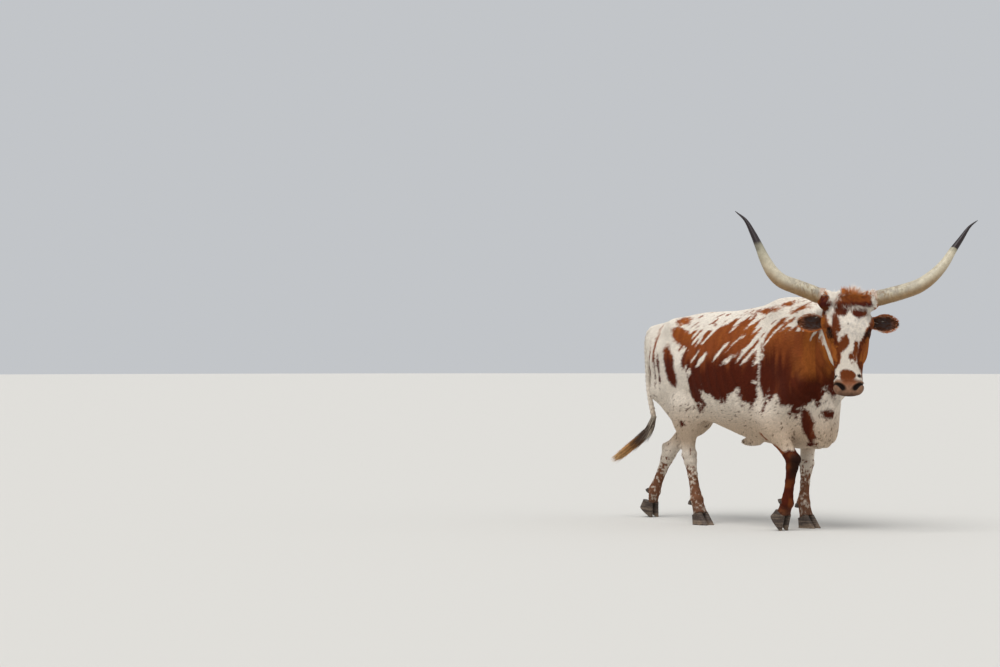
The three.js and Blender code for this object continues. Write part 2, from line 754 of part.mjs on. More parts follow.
// Claw: one half of a cloven hoof, a blunt wedge with a flat sole, cut off at the coronet
const CLAW_OUTLINE = [
  [0, 0.12],
  [0.12, 0.52],
  [0.35, 0.94],
  [0.65, 1],
  [0.9, 0.8],
  [1, 0.4],
];
const CLAW_RISE = [0, 0.5, 1, 1.5]; // levels, as shares of the coronet's height
const CLAW_PARTING = 2.5; // from each claw to the cleft's middle
const CLAW_TOE_SLOPE = 50; // how far the toe leans back by the coronet
const CLAW_HEEL_SLOPE = 4;
const CLAW_TAPER = 0.08;

function claw(leg, lateral) {
  const { origin, ahead: forward, up, coronet, bandNormal } = footOf(leg);
  const middle = lateral * (CLAW_WIDTH / 2 + CLAW_PARTING);
  const rings = CLAW_RISE.map((rise) => {
    const toe = CLAW_TOE - CLAW_TOE_SLOPE * rise;
    const heel = -CLAW_HEEL - CLAW_HEEL_SLOPE * rise;
    const half = (CLAW_WIDTH / 2) * (1 - CLAW_TAPER * rise);
    const place = (share, y) =>
      add(
        origin,
        add(mul(forward, mix(toe, heel, share)), add(mul(up, CORONET_HEIGHT * rise), [0, y, 0])),
      );
    const outer = CLAW_OUTLINE.map(([share, wide]) => place(share, middle + half * wide));
    const inner = CLAW_OUTLINE.map(([share, wide]) => place(share, middle - half * wide));
    return [...outer, ...inner.reverse()];
  });
  const floored = skinRings(rings).intersect(halfSpace([0, 0, 0], [0, 0, 1]));
  return keepSide(floored, coronet, mul(bandNormal, -1));
}

// Dewclaws: two short blunt cones behind each fetlock
const DEWCLAW_START = [22, -4]; // sideways and up from the fetlock
const DEWCLAW_REACH = [-52, -26]; // ahead and up to the tip
const DEWCLAW_RADIUS = [
  [0, 17],
  [0.6, 16],
  [1, 6],
];

function dewclaws(leg) {
  const { up, ahead } = footOf(leg);
  return [-1, 1].map((lateral) => {
    const start = add(leg.fetlock, [0, lateral * DEWCLAW_START[0], DEWCLAW_START[1]]);
    const tip = add(start, add(mul(ahead, DEWCLAW_REACH[0]), mul(up, DEWCLAW_REACH[1])));
    return sweptRound([start, mixPoint(start, tip, 0.5), tip], DEWCLAW_RADIUS, 8, 3);
  });
}

// An ellipsoid in the head's frame, its last radius along `axis`
const BALL_SIDES = 12;
const BALL_RINGS = 8;
function ball(centre, radii, axis = [0, 0, 1]) {
  const turn = new THREE.Quaternion().setFromUnitVectors(new THREE.Vector3(0, 0, 1), vector(axis));
  const inHead = new THREE.Matrix4().compose(vector(centre), turn, vector(radii));
  const headMatrix = new THREE.Matrix4()
    .makeBasis(vector(nose), vector(left), vector(out))
    .setPosition(...POLL);
  return solidOf(new THREE.SphereGeometry(1, BALL_SIDES, BALL_RINGS), headMatrix.multiply(inHead));
}

function eyeAt(side) {
  const centre = [EYE[0], EYE[1] * side, EYE[2]];
  const axis = [EYE_AXIS[0], EYE_AXIS[1] * side, EYE_AXIS[2]];
  return { centre, axis, along: unit(cross(cross(axis, [1, 0, 0]), axis)) };
}

// Lids: two low ridges that arch over and under the ball
const SOCKET = [24, 13, 24]; // the opening between the lids
const SOCKET_OUT = 20; // from the ball's centre
const LID_ARCH = 13;
const LID_HALF = 22;
const LID_STAND = 1.5; // from the eyeball to the ridge's line
const LID_FLOOR = 3; // the ridge's least height over the eyeball's middle
const LID_RADIUS = [
  [0, 3],
  [0.5, 5.5],
  [1, 3],
];
function lids(side) {
  const { centre, axis, along } = eyeAt(side);
  const high = cross(axis, along);
  return [-1, 1].map((turn) => {
    const path = [-1, -0.5, 0, 0.5, 1].map((t) => {
      const lift = LID_ARCH * (1 - t * t) * turn;
      const wide = LID_HALF * t;
      const square = (EYE_RADIUS + LID_STAND) ** 2 - lift ** 2 - wide ** 2;
      const rise = Math.sqrt(Math.max(square, LID_FLOOR ** 2));
      const spot = add(centre, add(mul(along, wide), add(mul(high, lift), mul(axis, rise))));
      return fromHead(spot);
    });
    return sweptRound(path, LID_RADIUS, 6, 8);
  });
}

// Mouth: a thin groove round the muzzle, from one corner to the other
const MOUTH = [
  [456, 80, -124],
  [506, 75, -122],
  [552, 50, -118],
  [575, 0, -116],
  [552, -50, -118],
  [506, -75, -122],
  [456, -80, -124],
];
const MOUTH_RADIUS = [
  [0, 2],
  [0.2, 5],
  [0.8, 5],
  [1, 2],
];
const NOSTRIL = [532, 47, -48];
const NOSTRIL_SIZE = [20, 13, 20];

// Poll hair: flat locks that stand out of the crest and fall over the forehead
const POLL_LOCKS = 21;
const POLL_LOCK_ROWS = 3;
const POLL_LOCK_SINK = 14; // how deep a root sits under the skin
const POLL_LOCK_SPREAD = 118; // the outermost roots, sideways
const POLL_LOCK_PLACE = [-22, 52]; // the first and last row, down the forehead
const POLL_LOCK_STRAY = 8;
const POLL_LOCK_LENGTH = [62, 86];
const POLL_LOCK_WIDTH = [30, 40];
const POLL_LOCK_THICK = [10, 14];

function pollLocks() {
  const draw = drawsFrom(11);
  const columns = Math.floor(POLL_LOCKS / POLL_LOCK_ROWS);
  return Array.from({ length: POLL_LOCKS }, (_, i) => {
    const row = i % POLL_LOCK_ROWS;
    const share = (Math.floor(i / POLL_LOCK_ROWS) + 0.5 * (row % 2)) / columns;
    const across = clamp(share + mix(-0.03, 0.03, draw()), 0, 1);
    const down = mix(...POLL_LOCK_PLACE, row / (POLL_LOCK_ROWS - 1));
    const stray = mix(-POLL_LOCK_STRAY, POLL_LOCK_STRAY, draw());
    const sideways = mix(-POLL_LOCK_SPREAD, POLL_LOCK_SPREAD, across);
    const root = ontoSkin(fromHead([down + stray, sideways, 40]));
    const away = slopeOf(whole, root);
    const fall = add(mul(nose, row === 0 ? -0.5 : 0.9), mul(left, 0.9 * mix(-1, 1, draw())));
    return lock({
      root: add(root, mul(away, -POLL_LOCK_SINK)),
      along: add(mul(away, 0.75), mul(fall, 0.7)),
      lie: add(fall, mul(away, 0.1)),
      face: add(away, mul(fall, -0.4)),
      length: mix(...POLL_LOCK_LENGTH, draw()),
      width: mix(...POLL_LOCK_WIDTH, draw()),
      thickness: mix(...POLL_LOCK_THICK, draw()),
    });
  });
}

// Tail switch: locks that leave the core along its length and trail beyond it
const SWITCH_LOCK_ROOTS = [0.1, 0.72]; // the first and last root, along the core
const SWITCH_LOCK_TURN = 2.4; // radians round the core from one root to the next
const SWITCH_LOCK_OUT = 7; // from the core's middle to a root
const SWITCH_LOCK_LENGTH = [120, 165];
const SWITCH_LOCK_WIDTH = [20, 28];
const SWITCH_LOCK_THICK = [7, 10];

function switchLocks() {
  const draw = drawsFrom(5);
  const curve = new THREE.CatmullRomCurve3(SWITCH_PATH.map(vector), false, "centripetal");
  return Array.from({ length: SWITCH_LOCKS }, (_, i) => {
    const t = mix(...SWITCH_LOCK_ROOTS, i / (SWITCH_LOCKS - 1));
    const way = curve.getTangentAt(t).toArray();
    const later = curve.getTangentAt(Math.min(1, t + 0.25)).toArray();
    const turn = i * SWITCH_LOCK_TURN;
    const side = unit(cross(way, SIDEWAYS));
    const away = add(mul(side, Math.cos(turn)), mul(SIDEWAYS, Math.sin(turn)));
    return lock({
      root: add(curve.getPointAt(t).toArray(), mul(away, SWITCH_LOCK_OUT)),
      along: add(way, mul(away, 0.34)),
      lie: add(later, mul(away, -0.06)),
      face: away,
      length: mix(...SWITCH_LOCK_LENGTH, draw()),
      width: mix(...SWITCH_LOCK_WIDTH, draw()),
      thickness: mix(...SWITCH_LOCK_THICK, draw()),
    });
  });
}

const slopeOf = (field, p) =>
  unit([0, 1, 2].map((i) => {
    const step = [0, 0, 0];
    step[i] = 1;
    return field(add(p, step)) - field(sub(p, step));
  }));

// The nearest place on the skin, by steps down the field
function ontoSkin(start) {
  let p = start;
  for (let turn = 0; turn < 12; turn += 1) p = sub(p, mul(slopeOf(whole, p), 0.9 * whole(p)));
  return p;
}

const LEG_BLEND = 50;
const HEAD_BLEND = 60;
const whole = (p) => {
  let d = trunkField(p);
  for (const field of legFields.values()) d = softMin(d, field(p), LEG_BLEND);
  return softMin(d, headField(p), HEAD_BLEND);
};

const group = new THREE.Group();

const material = (color, roughness) => new THREE.MeshStandardMaterial({ color, roughness, metalness: 0 });
const looks = {
  coat: material(0xd9cdbd, 0.85),
  face: material(0x9a5a34, 0.85),
  horn: material(0xb9a98c, 0.45),
  hoof: material(0x3a2f29, 0.6),
  eye: material(0x140d0a, 0.12),
  hair: material(0x8a4a28, 0.8),
};

function addNode(name, solid, look) {
  const mesh = new THREE.Mesh(geometryOf(largest(solid)), looks[look]);
  mesh.name = name;
  group.add(mesh);
  return mesh;
}

// Cuts between the flesh nodes
const NECK_CUT = { point: [610, 0, 1000], normal: unit([0.96, 0, 0.28]) };
const HEAD_CUT = { point: [760, -30, 1100], normal: unit([0.8, -0.55, 0.2]) };
// Each leg's space: its reach along x, the height of its cut, and how near the middle it comes
const LEG_CELLS = [
  { leg: FORE_LEFT, x: [240, 640], top: 640, medial: 96 },
  { leg: FORE_RIGHT, x: [240, 700], top: 640, medial: 96 },
  { leg: HIND_LEFT, x: [-1000, -150], top: 700, medial: 50 },
  { leg: HIND_RIGHT, x: [-640, -60], top: 700, medial: 50 },
];
const LEG_CELL = [35, 31, 44];
const LEG_GRID_REACH = 360; // how far to its side a leg's grid reaches
const FOOT_DEPTH = 200; // how far a leg's space reaches under the floor
const LEG_REACH = 400; // and out to the side

// The space that a leg takes below its cut, grown by `clear`
function legSpace({ leg, x, top, medial }, clear) {
  const box = new THREE.BoxGeometry(
    x[1] - x[0] + 2 * clear,
    LEG_REACH - medial + clear,
    top + FOOT_DEPTH + clear,
  );
  box.translate(
    (x[0] + x[1]) / 2,
    ((LEG_REACH + medial - clear) / 2) * leg.side,
    (top + clear - FOOT_DEPTH) / 2,
  );
  return solidOf(box);
}

// Torso, with a seat for the tail
const TORSO_GRID = { low: [-860, -400, 420], high: [800, 400, 1480], cell: [66, 58, 62] };
let torso = polygonise(whole, TORSO_GRID);
torso = keepSide(torso, NECK_CUT.point, mul(NECK_CUT.normal, -1));
for (const cell of LEG_CELLS) torso = torso.subtract(legSpace(cell, GAP / 2));
const tail = (clear) => sweptRound(TAIL_PATH, TAIL_RADIUS, 8, 14, clear);
addNode("torso", torso.subtract(tail(GAP)), "coat");

// Neck
const NECK_GRID = { low: [400, -340, 540], high: [1120, 320, 1480], cell: [42, 38, 42] };
let neck = polygonise(whole, NECK_GRID);
neck = keepSide(neck, NECK_CUT.point, NECK_CUT.normal);
neck = keepSide(neck, HEAD_CUT.point, mul(HEAD_CUT.normal, -1));
addNode("neck", neck, "coat");

// Head, meshed on a grid turned with it
const HEAD_GRID = { low: [-90, -240, -330], high: [650, 240, 70], cell: [27, 25, 26] };
let head = polygonise((q) => whole(fromHead(q)), HEAD_GRID, fromHead);
head = keepSide(head, HEAD_CUT.point, HEAD_CUT.normal);
const mouth = sweptRound(MOUTH.map(fromHead), MOUTH_RADIUS, 6, 18);
head = head.subtract(mouth);
for (const side of [-1, 1]) {
  const { centre, axis } = eyeAt(side);
  head = head.subtract(ball(add(centre, mul(axis, SOCKET_OUT)), SOCKET, axis));
  for (const lid of lids(side)) head = head.add(lid);
  head = head.subtract(ball(centre, [1, 1, 1].map(() => EYE_RADIUS + GAP), axis));
  head = head.subtract(ball([NOSTRIL[0], NOSTRIL[1] * side, NOSTRIL[2]], NOSTRIL_SIZE));
  head = head.subtract(ear(side, EAR_SEAT));
}
for (const hair of pollLocks()) head = head.add(hair);
head = head.subtract(horn(HORN_LEFT_PATH, 1, GAP)).subtract(horn(HORN_RIGHT_PATH, -1, GAP));
addNode("head", head, "face");

// Each side's eye, ear and horn
for (const [side, name, path] of [
  [1, "left", HORN_LEFT_PATH],
  [-1, "right", HORN_RIGHT_PATH],
]) {
  const { centre, axis } = eyeAt(side);
  addNode(`eye_${name}`, ball(centre, [EYE_RADIUS, EYE_RADIUS, EYE_RADIUS], axis), "eye");
  addNode(`ear_${name}`, ear(side), "face");
  addNode(`horn_${name}`, horn(path, side), "horn");
}

// Legs, with their claws
for (const cell of LEG_CELLS) {
  const { leg, x, top } = cell;
  const { coronet, bandNormal } = footOf(leg);
  const low = [x[0] - 60, leg.side > 0 ? -10 : -LEG_GRID_REACH, -30];
  const high = [x[1] + 60, leg.side > 0 ? LEG_GRID_REACH : 10, top + 80];
  const grown = polygonise(whole, { low, high, cell: LEG_CELL });
  let flesh = grown.intersect(legSpace(cell, -GAP / 2));
  flesh = keepSide(flesh, coronet, bandNormal);
  for (const dewclaw of dewclaws(leg)) flesh = flesh.add(dewclaw);
  addNode(leg.name, flesh, "coat");
  const foot = leg.name.replace("leg_", "");
  addNode(`claw_${foot}_outer`, claw(leg, leg.side), "hoof");
  addNode(`claw_${foot}_inner`, claw(leg, -leg.side), "hoof");
}

// Tail and its switch, which meet at a flat face
const tailEnd = SWITCH_PATH[0];
const tailWay = unit(sub(SWITCH_PATH[0], TAIL_PATH[TAIL_PATH.length - 2]));
addNode("tail", keepSide(tail(0), tailEnd, mul(tailWay, -1)), "coat");
const switchStart = add(tailEnd, mul(tailWay, -8)); // just above the cut
let brush = sweptRound([switchStart, ...SWITCH_PATH.slice(1)], SWITCH_RADIUS, 8, 14);
for (const hair of switchLocks()) brush = brush.add(hair);
addNode("tail_switch", keepSide(brush, tailEnd, tailWay), "hair");

// The origin is the middle of the box that the whole stands in, on the floor
const box = new THREE.Box3().setFromObject(group);
const middle = box.getCenter(new THREE.Vector3());
group.position.set(-middle.x, -middle.y, -box.min.z);
group.updateMatrixWorld(true);

export default group;
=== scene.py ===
# %% [markdown]
# # A young longhorn steer, life size
# This lesson dresses a CAD model of a walking steer. The solids stay in charge of size and place.
# Here they get one smooth skin, short fur, horns with growth rings, wet eyes and cloven hooves.
# Every surface is worked out with numpy as a formula over whole arrays, then handed to Blender.

import math
import time

import bmesh
import bpy
import numpy as np
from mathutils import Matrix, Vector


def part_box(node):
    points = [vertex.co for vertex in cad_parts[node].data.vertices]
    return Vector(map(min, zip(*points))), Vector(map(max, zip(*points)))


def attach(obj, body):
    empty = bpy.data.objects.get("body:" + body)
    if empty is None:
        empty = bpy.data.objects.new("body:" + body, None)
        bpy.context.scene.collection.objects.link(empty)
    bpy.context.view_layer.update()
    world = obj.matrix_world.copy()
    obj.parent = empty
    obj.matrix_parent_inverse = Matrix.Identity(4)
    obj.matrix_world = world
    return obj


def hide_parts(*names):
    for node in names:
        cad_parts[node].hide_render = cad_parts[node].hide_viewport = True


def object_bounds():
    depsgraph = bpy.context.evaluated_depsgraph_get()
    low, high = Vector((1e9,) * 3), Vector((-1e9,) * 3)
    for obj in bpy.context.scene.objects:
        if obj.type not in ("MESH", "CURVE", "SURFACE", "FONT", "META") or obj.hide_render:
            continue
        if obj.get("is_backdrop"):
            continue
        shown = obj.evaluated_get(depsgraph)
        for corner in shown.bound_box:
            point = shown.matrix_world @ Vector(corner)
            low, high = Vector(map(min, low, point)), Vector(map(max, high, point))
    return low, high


START = time.perf_counter()


def spent():
    """Seconds since the script began, to one decimal."""
    return round(time.perf_counter() - START, 1)


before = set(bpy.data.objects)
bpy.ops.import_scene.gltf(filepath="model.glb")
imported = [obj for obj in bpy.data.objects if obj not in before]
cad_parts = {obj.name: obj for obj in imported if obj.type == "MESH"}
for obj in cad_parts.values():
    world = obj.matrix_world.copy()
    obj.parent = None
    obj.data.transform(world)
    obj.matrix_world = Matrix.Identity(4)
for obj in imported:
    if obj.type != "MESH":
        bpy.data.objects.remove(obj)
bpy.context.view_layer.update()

# %% [markdown]
# ## The camera
# The photo was taken from the animal's right, ahead of it and a little below its back, through a
# long lens. A level camera far off with a narrow view gives the same flat perspective.

# %% Camera
MM = 0.001
EYE = np.array([214.0, 98.0, -28.0])
POLL = np.array([937.0, -106.0, 1372.0])
HEAD_YAW = -50.0
HEAD_TILT = 73.5
HEAD_ROLL = 2.5


def unit(vectors):
    """Vectors divided by their own length, so that each is 1 long."""
    vectors = np.asarray(vectors, dtype=float)
    return vectors / np.maximum(np.linalg.norm(vectors, axis=-1, keepdims=True), 1e-12)


yaw = math.radians(HEAD_YAW)
tilt = math.radians(HEAD_TILT)
roll = math.radians(HEAD_ROLL)
HEAD_NOSE = np.array([math.cos(tilt) * math.cos(yaw), math.cos(tilt) * math.sin(yaw), -math.sin(tilt)])
LEVEL_LEFT = np.array([-math.sin(yaw), math.cos(yaw), 0.0])
LEVEL_OUT = np.cross(HEAD_NOSE, LEVEL_LEFT)
HEAD_LEFT = LEVEL_LEFT * math.cos(roll) - LEVEL_OUT * math.sin(roll)
HEAD_OUT = np.cross(HEAD_NOSE, HEAD_LEFT)
HEAD_AXES = np.stack([HEAD_NOSE, HEAD_LEFT, HEAD_OUT])


def from_head(points):
    """Head frame to body frame: the poll, plus each number times its own axis of the head."""
    return POLL + np.asarray(points, dtype=float) @ HEAD_AXES


def to_head(points):
    """Body frame to head frame: the offset from the poll, measured along each axis of the head."""
    return (np.asarray(points, dtype=float) - POLL) @ HEAD_AXES.T


eye_low, eye_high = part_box("eye_left")
eye_middle = (np.array(eye_low) + np.array(eye_high)) / 2 / MM
MIDDLE = from_head(EYE) - eye_middle
print("the body frame is moved by", np.round(MIDDLE, 2), "mm")


def room(points):
    """Body millimetres to metres in the row frame: take off the middle of the box, then scale."""
    return (np.asarray(points, dtype=float) - MIDDLE) * MM


CAMERA_PLACE = np.array([10478.0, -11740.0, 1155.0])
CAMERA_LOOK = np.array([-0.7314, 0.6820, 0.0])
SENSOR_WIDTH = 36.0
FOCAL_LENGTH = 93.6

camera_data = bpy.data.cameras.new("camera")
camera_data.sensor_width = SENSOR_WIDTH
camera_data.lens = FOCAL_LENGTH
camera_data.clip_end = 200.0
camera = bpy.data.objects.new("camera", camera_data)
bpy.context.scene.collection.objects.link(camera)
camera.location = room(CAMERA_PLACE)
camera.rotation_euler = (math.pi / 2, 0.0, math.atan2(-CAMERA_LOOK[0], CAMERA_LOOK[1]))
bpy.context.scene.camera = camera
print("camera at", np.round(room(CAMERA_PLACE), 3))

# %% [markdown]
# ## Floor and light
# A museum model stands on a plain floor in soft light. A wide pale disc and a bright, even world
# stand for the hall, and two soft suns model the body: a high one from the photo's sunny side and
# a weak one from in front, so that no part of the animal goes black.

# %% Floor, world and lamps
FLOOR_RADIUS = 60.0
FLOOR_SIDES = 96
FLOOR_COLOUR = (0.60, 0.58, 0.54)
SKY_COLOUR = (0.90, 0.93, 0.97, 1.0)
SKY_STRENGTH = 0.60


def new_object(name, mesh):
    """A mesh object at the origin, unturned, linked to the scene."""
    item = bpy.data.objects.new(name, mesh)
    bpy.context.scene.collection.objects.link(item)
    return item


def principled(name, colour, roughness):
    """A material with one Principled shader, and that shader's node."""
    made = bpy.data.materials.new(name)
    made.use_nodes = True
    shader = made.node_tree.nodes["Principled BSDF"]
    shader.inputs["Base Color"].default_value = (*colour, 1.0)
    shader.inputs["Roughness"].default_value = roughness
    return made, shader


turn = np.linspace(0, 2 * math.pi, FLOOR_SIDES, endpoint=False)
rim = np.stack([FLOOR_RADIUS * np.cos(turn), FLOOR_RADIUS * np.sin(turn), np.zeros(FLOOR_SIDES)], 1)
floor_mesh = bpy.data.meshes.new("floor")
floor_mesh.from_pydata(rim.tolist(), [], [list(range(FLOOR_SIDES))])
floor = new_object("floor", floor_mesh)
floor_mesh.materials.append(principled("pale_floor", FLOOR_COLOUR, 0.95)[0])
floor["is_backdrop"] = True

world = bpy.data.worlds.new("hall")
bpy.context.scene.world = world
world.use_nodes = True
sky = world.node_tree.nodes["Background"]
sky.inputs["Color"].default_value = SKY_COLOUR
sky.inputs["Strength"].default_value = SKY_STRENGTH


def sun(name, way, softness, power):
    """A sun lamp that shines along a direction, with soft shadows from its wide disc."""
    data = bpy.data.lights.new(name, "SUN")
    data.angle = math.radians(softness)
    data.energy = power
    item = bpy.data.objects.new(name, data)
    bpy.context.scene.collection.objects.link(item)
    way = unit(way)
    item.rotation_euler = (math.acos(-way[2]), 0.0, math.atan2(way[1], way[0]) - math.pi / 2)
    return item


sun("key_light", (-0.15, 0.62, -1.0), 40.0, 2.3)
sun("fill_light", (-0.8, -0.35, -0.55), 60.0, 0.5)
bpy.context.scene.view_settings.view_transform = "Standard"
print("stage set")

# %% [markdown]
# ## Formulas for the body
# A steer's body has no edges, so its shape is written as a distance: below zero inside, above zero
# outside. Simple bodies are joined by a soft minimum, which fills the corner between them as flesh
# does. The same named numbers made the CAD solids, so that the skin fits them.

# %% Soft joins, tables and simple bodies


def soft_min(a, b, width):
    """The smaller of a and b, less width/4 times the square of how near they are."""
    near = np.maximum(width - np.abs(a - b), 0.0) / width
    return np.minimum(a, b) - near * near * width / 4


def soft_max(a, b, width):
    """The larger of a and b, rounded in the same way."""
    return -soft_min(-a, -b, width)


def smooth_step(low, high, x):
    """0 below low, 1 above high, and 3t² - 2t³ between them."""
    t = np.clip((x - low) / (high - low), 0.0, 1.0)
    return t * t * (3 - 2 * t)


def table_curve(rows, x):
    """Each column of a table as a smooth curve: cubic pieces whose slopes come from the neighbours."""
    rows = np.asarray(rows, dtype=float)
    last = len(rows) - 1
    after = rows[np.minimum(np.arange(last + 1) + 1, last)]
    before = rows[np.maximum(np.arange(last + 1) - 1, 0)]
    slopes = (after - before) / (after[:, :1] - before[:, :1])
    x = np.clip(np.asarray(x, dtype=float), rows[0, 0], rows[-1, 0])
    i = np.clip(np.searchsorted(rows[:, 0], x, side="left") - 1, 0, last - 1)
    step = rows[i + 1, 0] - rows[i, 0]
    t = (x - rows[i, 0]) / step
    w0 = 2 * t**3 - 3 * t**2 + 1
    w1 = (t**3 - 2 * t**2 + t) * step
    w3 = (t**3 - t**2) * step
    columns = range(1, rows.shape[1])
    return [
        w0 * rows[i, k] + w1 * slopes[i, k] + (1 - w0) * rows[i + 1, k] + w3 * slopes[i + 1, k]
        for k in columns
    ]


def loft(rows, end_blend, p):
    """Distance to a body whose section is a rounded oval, read from a table along the first axis."""
    top, bottom, wide, level, upper, lower = table_curve(rows, p[:, 0])
    rise = p[:, 2] - level
    above = rise > 0
    tall = np.where(above, top - level, level - bottom)
    power = np.where(above, upper, lower)
    flat = np.abs(p[:, 1] / wide) ** power + np.abs(rise / tall) ** power
    share = np.maximum(flat, 1e-9) ** (1 / power)
    radial = np.hypot(p[:, 1], rise) * (1 - 1 / np.maximum(share, 1e-3))
    inside = np.where(share < 1e-3, -np.minimum(wide, tall), radial)
    ends = np.maximum(rows[0][0] - p[:, 0], p[:, 0] - rows[-1][0])
    return soft_max(inside, ends, end_blend)


SIDEWAYS = np.array([0.0, 1.0, 0.0])
FAR_OUTSIDE = 1e4


def limb(stations, width, p, side=SIDEWAYS):
    """Distance to a chain of tapered ovals between stations (place, deep, wide), softly joined."""
    total = np.full(len(p), FAR_OUTSIDE)
    for (a, deep_a, wide_a), (b, deep_b, wide_b) in zip(stations, stations[1:]):
        a = np.asarray(a, dtype=float)
        span = np.asarray(b, dtype=float) - a
        axis = unit(span)
        across = unit(side - axis * np.dot(side, axis))
        fore = np.cross(across, axis)
        t = np.clip((p - a) @ span / np.dot(span, span), 0.0, 1.0)
        local = p - a - t[:, None] * span
        deep = deep_a + (deep_b - deep_a) * t
        wide = wide_a + (wide_b - wide_a) * t
        thin = np.minimum(deep, wide)
        parts = np.stack([local @ fore / deep, local @ across / wide, local @ axis / thin])
        share = np.sqrt((parts**2).sum(0))
        length = np.linalg.norm(local, axis=1)
        one = np.where(share < 1e-3, -thin, length * (1 - 1 / np.maximum(share, 1e-3)))
        total = soft_min(total, one, width)
    return total


def ellipsoid(centre, radii, p):
    """Close to the distance from an ellipsoid: k0 (k0 - 1) / k1, with k0 the scaled length."""
    q = p - np.asarray(centre, dtype=float)
    radii = np.asarray(radii, dtype=float)
    k0 = np.linalg.norm(q / radii, axis=1)
    k1 = np.linalg.norm(q / radii**2, axis=1)
    return np.where(k1 < 1e-9, -radii.min(), k0 * (k0 - 1) / np.maximum(k1, 1e-9))


def only_near(low, high, p, formula):
    """A formula worked out only for points inside a box. The others are far outside: 10 metres."""
    value = np.full(len(p), FAR_OUTSIDE)
    inside = np.all((p > low) & (p < high), axis=1)
    if inside.any():
        value[inside] = formula(p[inside])
    return value


print("formulas ready")

# %% [markdown]
# ## Trunk and neck
# The barrel is a loft through sixteen sections, from the brisket to the rump. Hip bones, brisket,
# dewlap and the fold of the flank are soft lumps on it, and the hollow before the hip is pressed in.

# %% Trunk and neck as distances
TRUNK = [
    [-735, 1110, 1040, 34, 1075, 2.0, 2.0],
    [-690, 1162, 930, 78, 1065, 2.0, 2.0],
    [-610, 1220, 810, 138, 1050, 1.9, 2.0],
    [-500, 1250, 715, 192, 1035, 1.7, 2.0],
    [-400, 1268, 672, 234, 1010, 1.75, 2.0],
    [-250, 1288, 638, 264, 950, 1.85, 2.1],
    [-115, 1293, 597, 284, 905, 1.95, 2.1],
    [0, 1297, 560, 290, 885, 1.95, 2.1],
    [126, 1312, 522, 284, 875, 1.85, 2.1],
    [250, 1334, 502, 262, 865, 1.7, 2.1],
    [350, 1353, 488, 238, 860, 1.55, 2.1],
    [415, 1361, 480, 222, 855, 1.5, 2.1],
    [516, 1345, 476, 204, 845, 1.6, 2.0],
    [613, 1290, 502, 178, 830, 1.8, 2.0],
    [690, 1180, 560, 132, 800, 2.0, 2.0],
    [748, 960, 655, 70, 790, 2.0, 2.0],
]
NECK = [
    ([420, 0, 1040], 300, 168),
    ([590, -2, 1082], 250, 138),
    ([720, -12, 1130], 198, 118),
    ([820, -32, 1185], 158, 106),
    ([872, -48, 1215], 134, 98),
]


def trunk_distance(p):
    """The loft, softly joined with bones and masses, less the hollows, joined with the neck."""
    d = loft(TRUNK, 90, p)
    for s in (-1, 1):
        d = soft_min(d, ellipsoid([-395, 122 * s, 1190], [78, 58, 50], p), 80)
        d = soft_min(d, ellipsoid([-650, 72 * s, 1115], [42, 34, 42], p), 60)
        d = soft_min(d, ellipsoid([-215, 185 * s, 690], [120, 40, 62], p), 90)
    d = soft_min(d, ellipsoid([655, 0, 585], [85, 84, 92], p), 90)
    d = soft_min(d, ellipsoid([720, -4, 860], [80, 34, 150], p), 70)
    d = soft_min(d, ellipsoid([105, 0, 508], [80, 30, 26], p), 40)
    d = soft_min(d, ellipsoid([-655, 0, 1165], [70, 48, 34], p), 60)
    for s in (-1, 1):
        d = soft_max(d, -ellipsoid([-275, 318 * s, 1095], [115, 75, 100], p), 60)
    d = soft_min(d, only_near([100, -450, 700], [1100, 400, 1550], p, lambda q: limb(NECK, 60, q)), 110)
    return soft_max(d, -ellipsoid([-745, 0, 960], [60, 30, 130], p), 50)


print("trunk: distance at the middle of the barrel", trunk_distance(np.array([[0.0, 0.0, 900.0]])))

# %% [markdown]
# ## Legs
# Each leg is a chain of ovals through its own joints, as the steer steps: the right fore foot is
# just leaving the ground and the left hind foot is pushing off, both on their toes.

# %% Legs as distances
CLAW_TOE = 64.0
TOE_WEAR = 4.0
CORONET_BACK = 22.0
CORONET_HEIGHT = 68.0
CORONET_SLOPE = math.radians(18.0)
FORE_LEFT = {
    "name": "fore_left", "side": 1, "pitch": 0.0, "shoulder": [600, 168, 850], "elbow": [405, 180, 650],
    "knee": [410, 142, 385], "fetlock": [388, 140, 150], "sole": [432, 140],
}
FORE_RIGHT = {
    "name": "fore_right", "side": -1, "pitch": 50.0, "shoulder": [612, -168, 850],
    "elbow": [405, -182, 645], "knee": [555, -150, 420], "fetlock": [500, -140, 165], "sole": [437, -140],
}
HIND_LEFT = {
    "name": "hind_left", "side": 1, "pitch": 35.0, "hip": [-470, 125, 1010], "stifle": [-390, 172, 715],
    "hock": [-700, 130, 410], "fetlock": [-822, 125, 168], "sole": [-869, 125],
}
HIND_RIGHT = {
    "name": "hind_right", "side": -1, "pitch": 0.0, "hip": [-470, -125, 1010], "stifle": [-262, -182, 720],
    "hock": [-278, -140, 425], "fetlock": [-222, -135, 150], "sole": [-170, -135],
}
LEGS = [FORE_LEFT, FORE_RIGHT, HIND_LEFT, HIND_RIGHT]
JOINTS = ("shoulder", "elbow", "hip", "stifle", "knee", "hock", "fetlock")


def between(a, b, t):
    """The point that is t of the way from a to b."""
    a = np.asarray(a, dtype=float)
    return a + (np.asarray(b, dtype=float) - a) * t


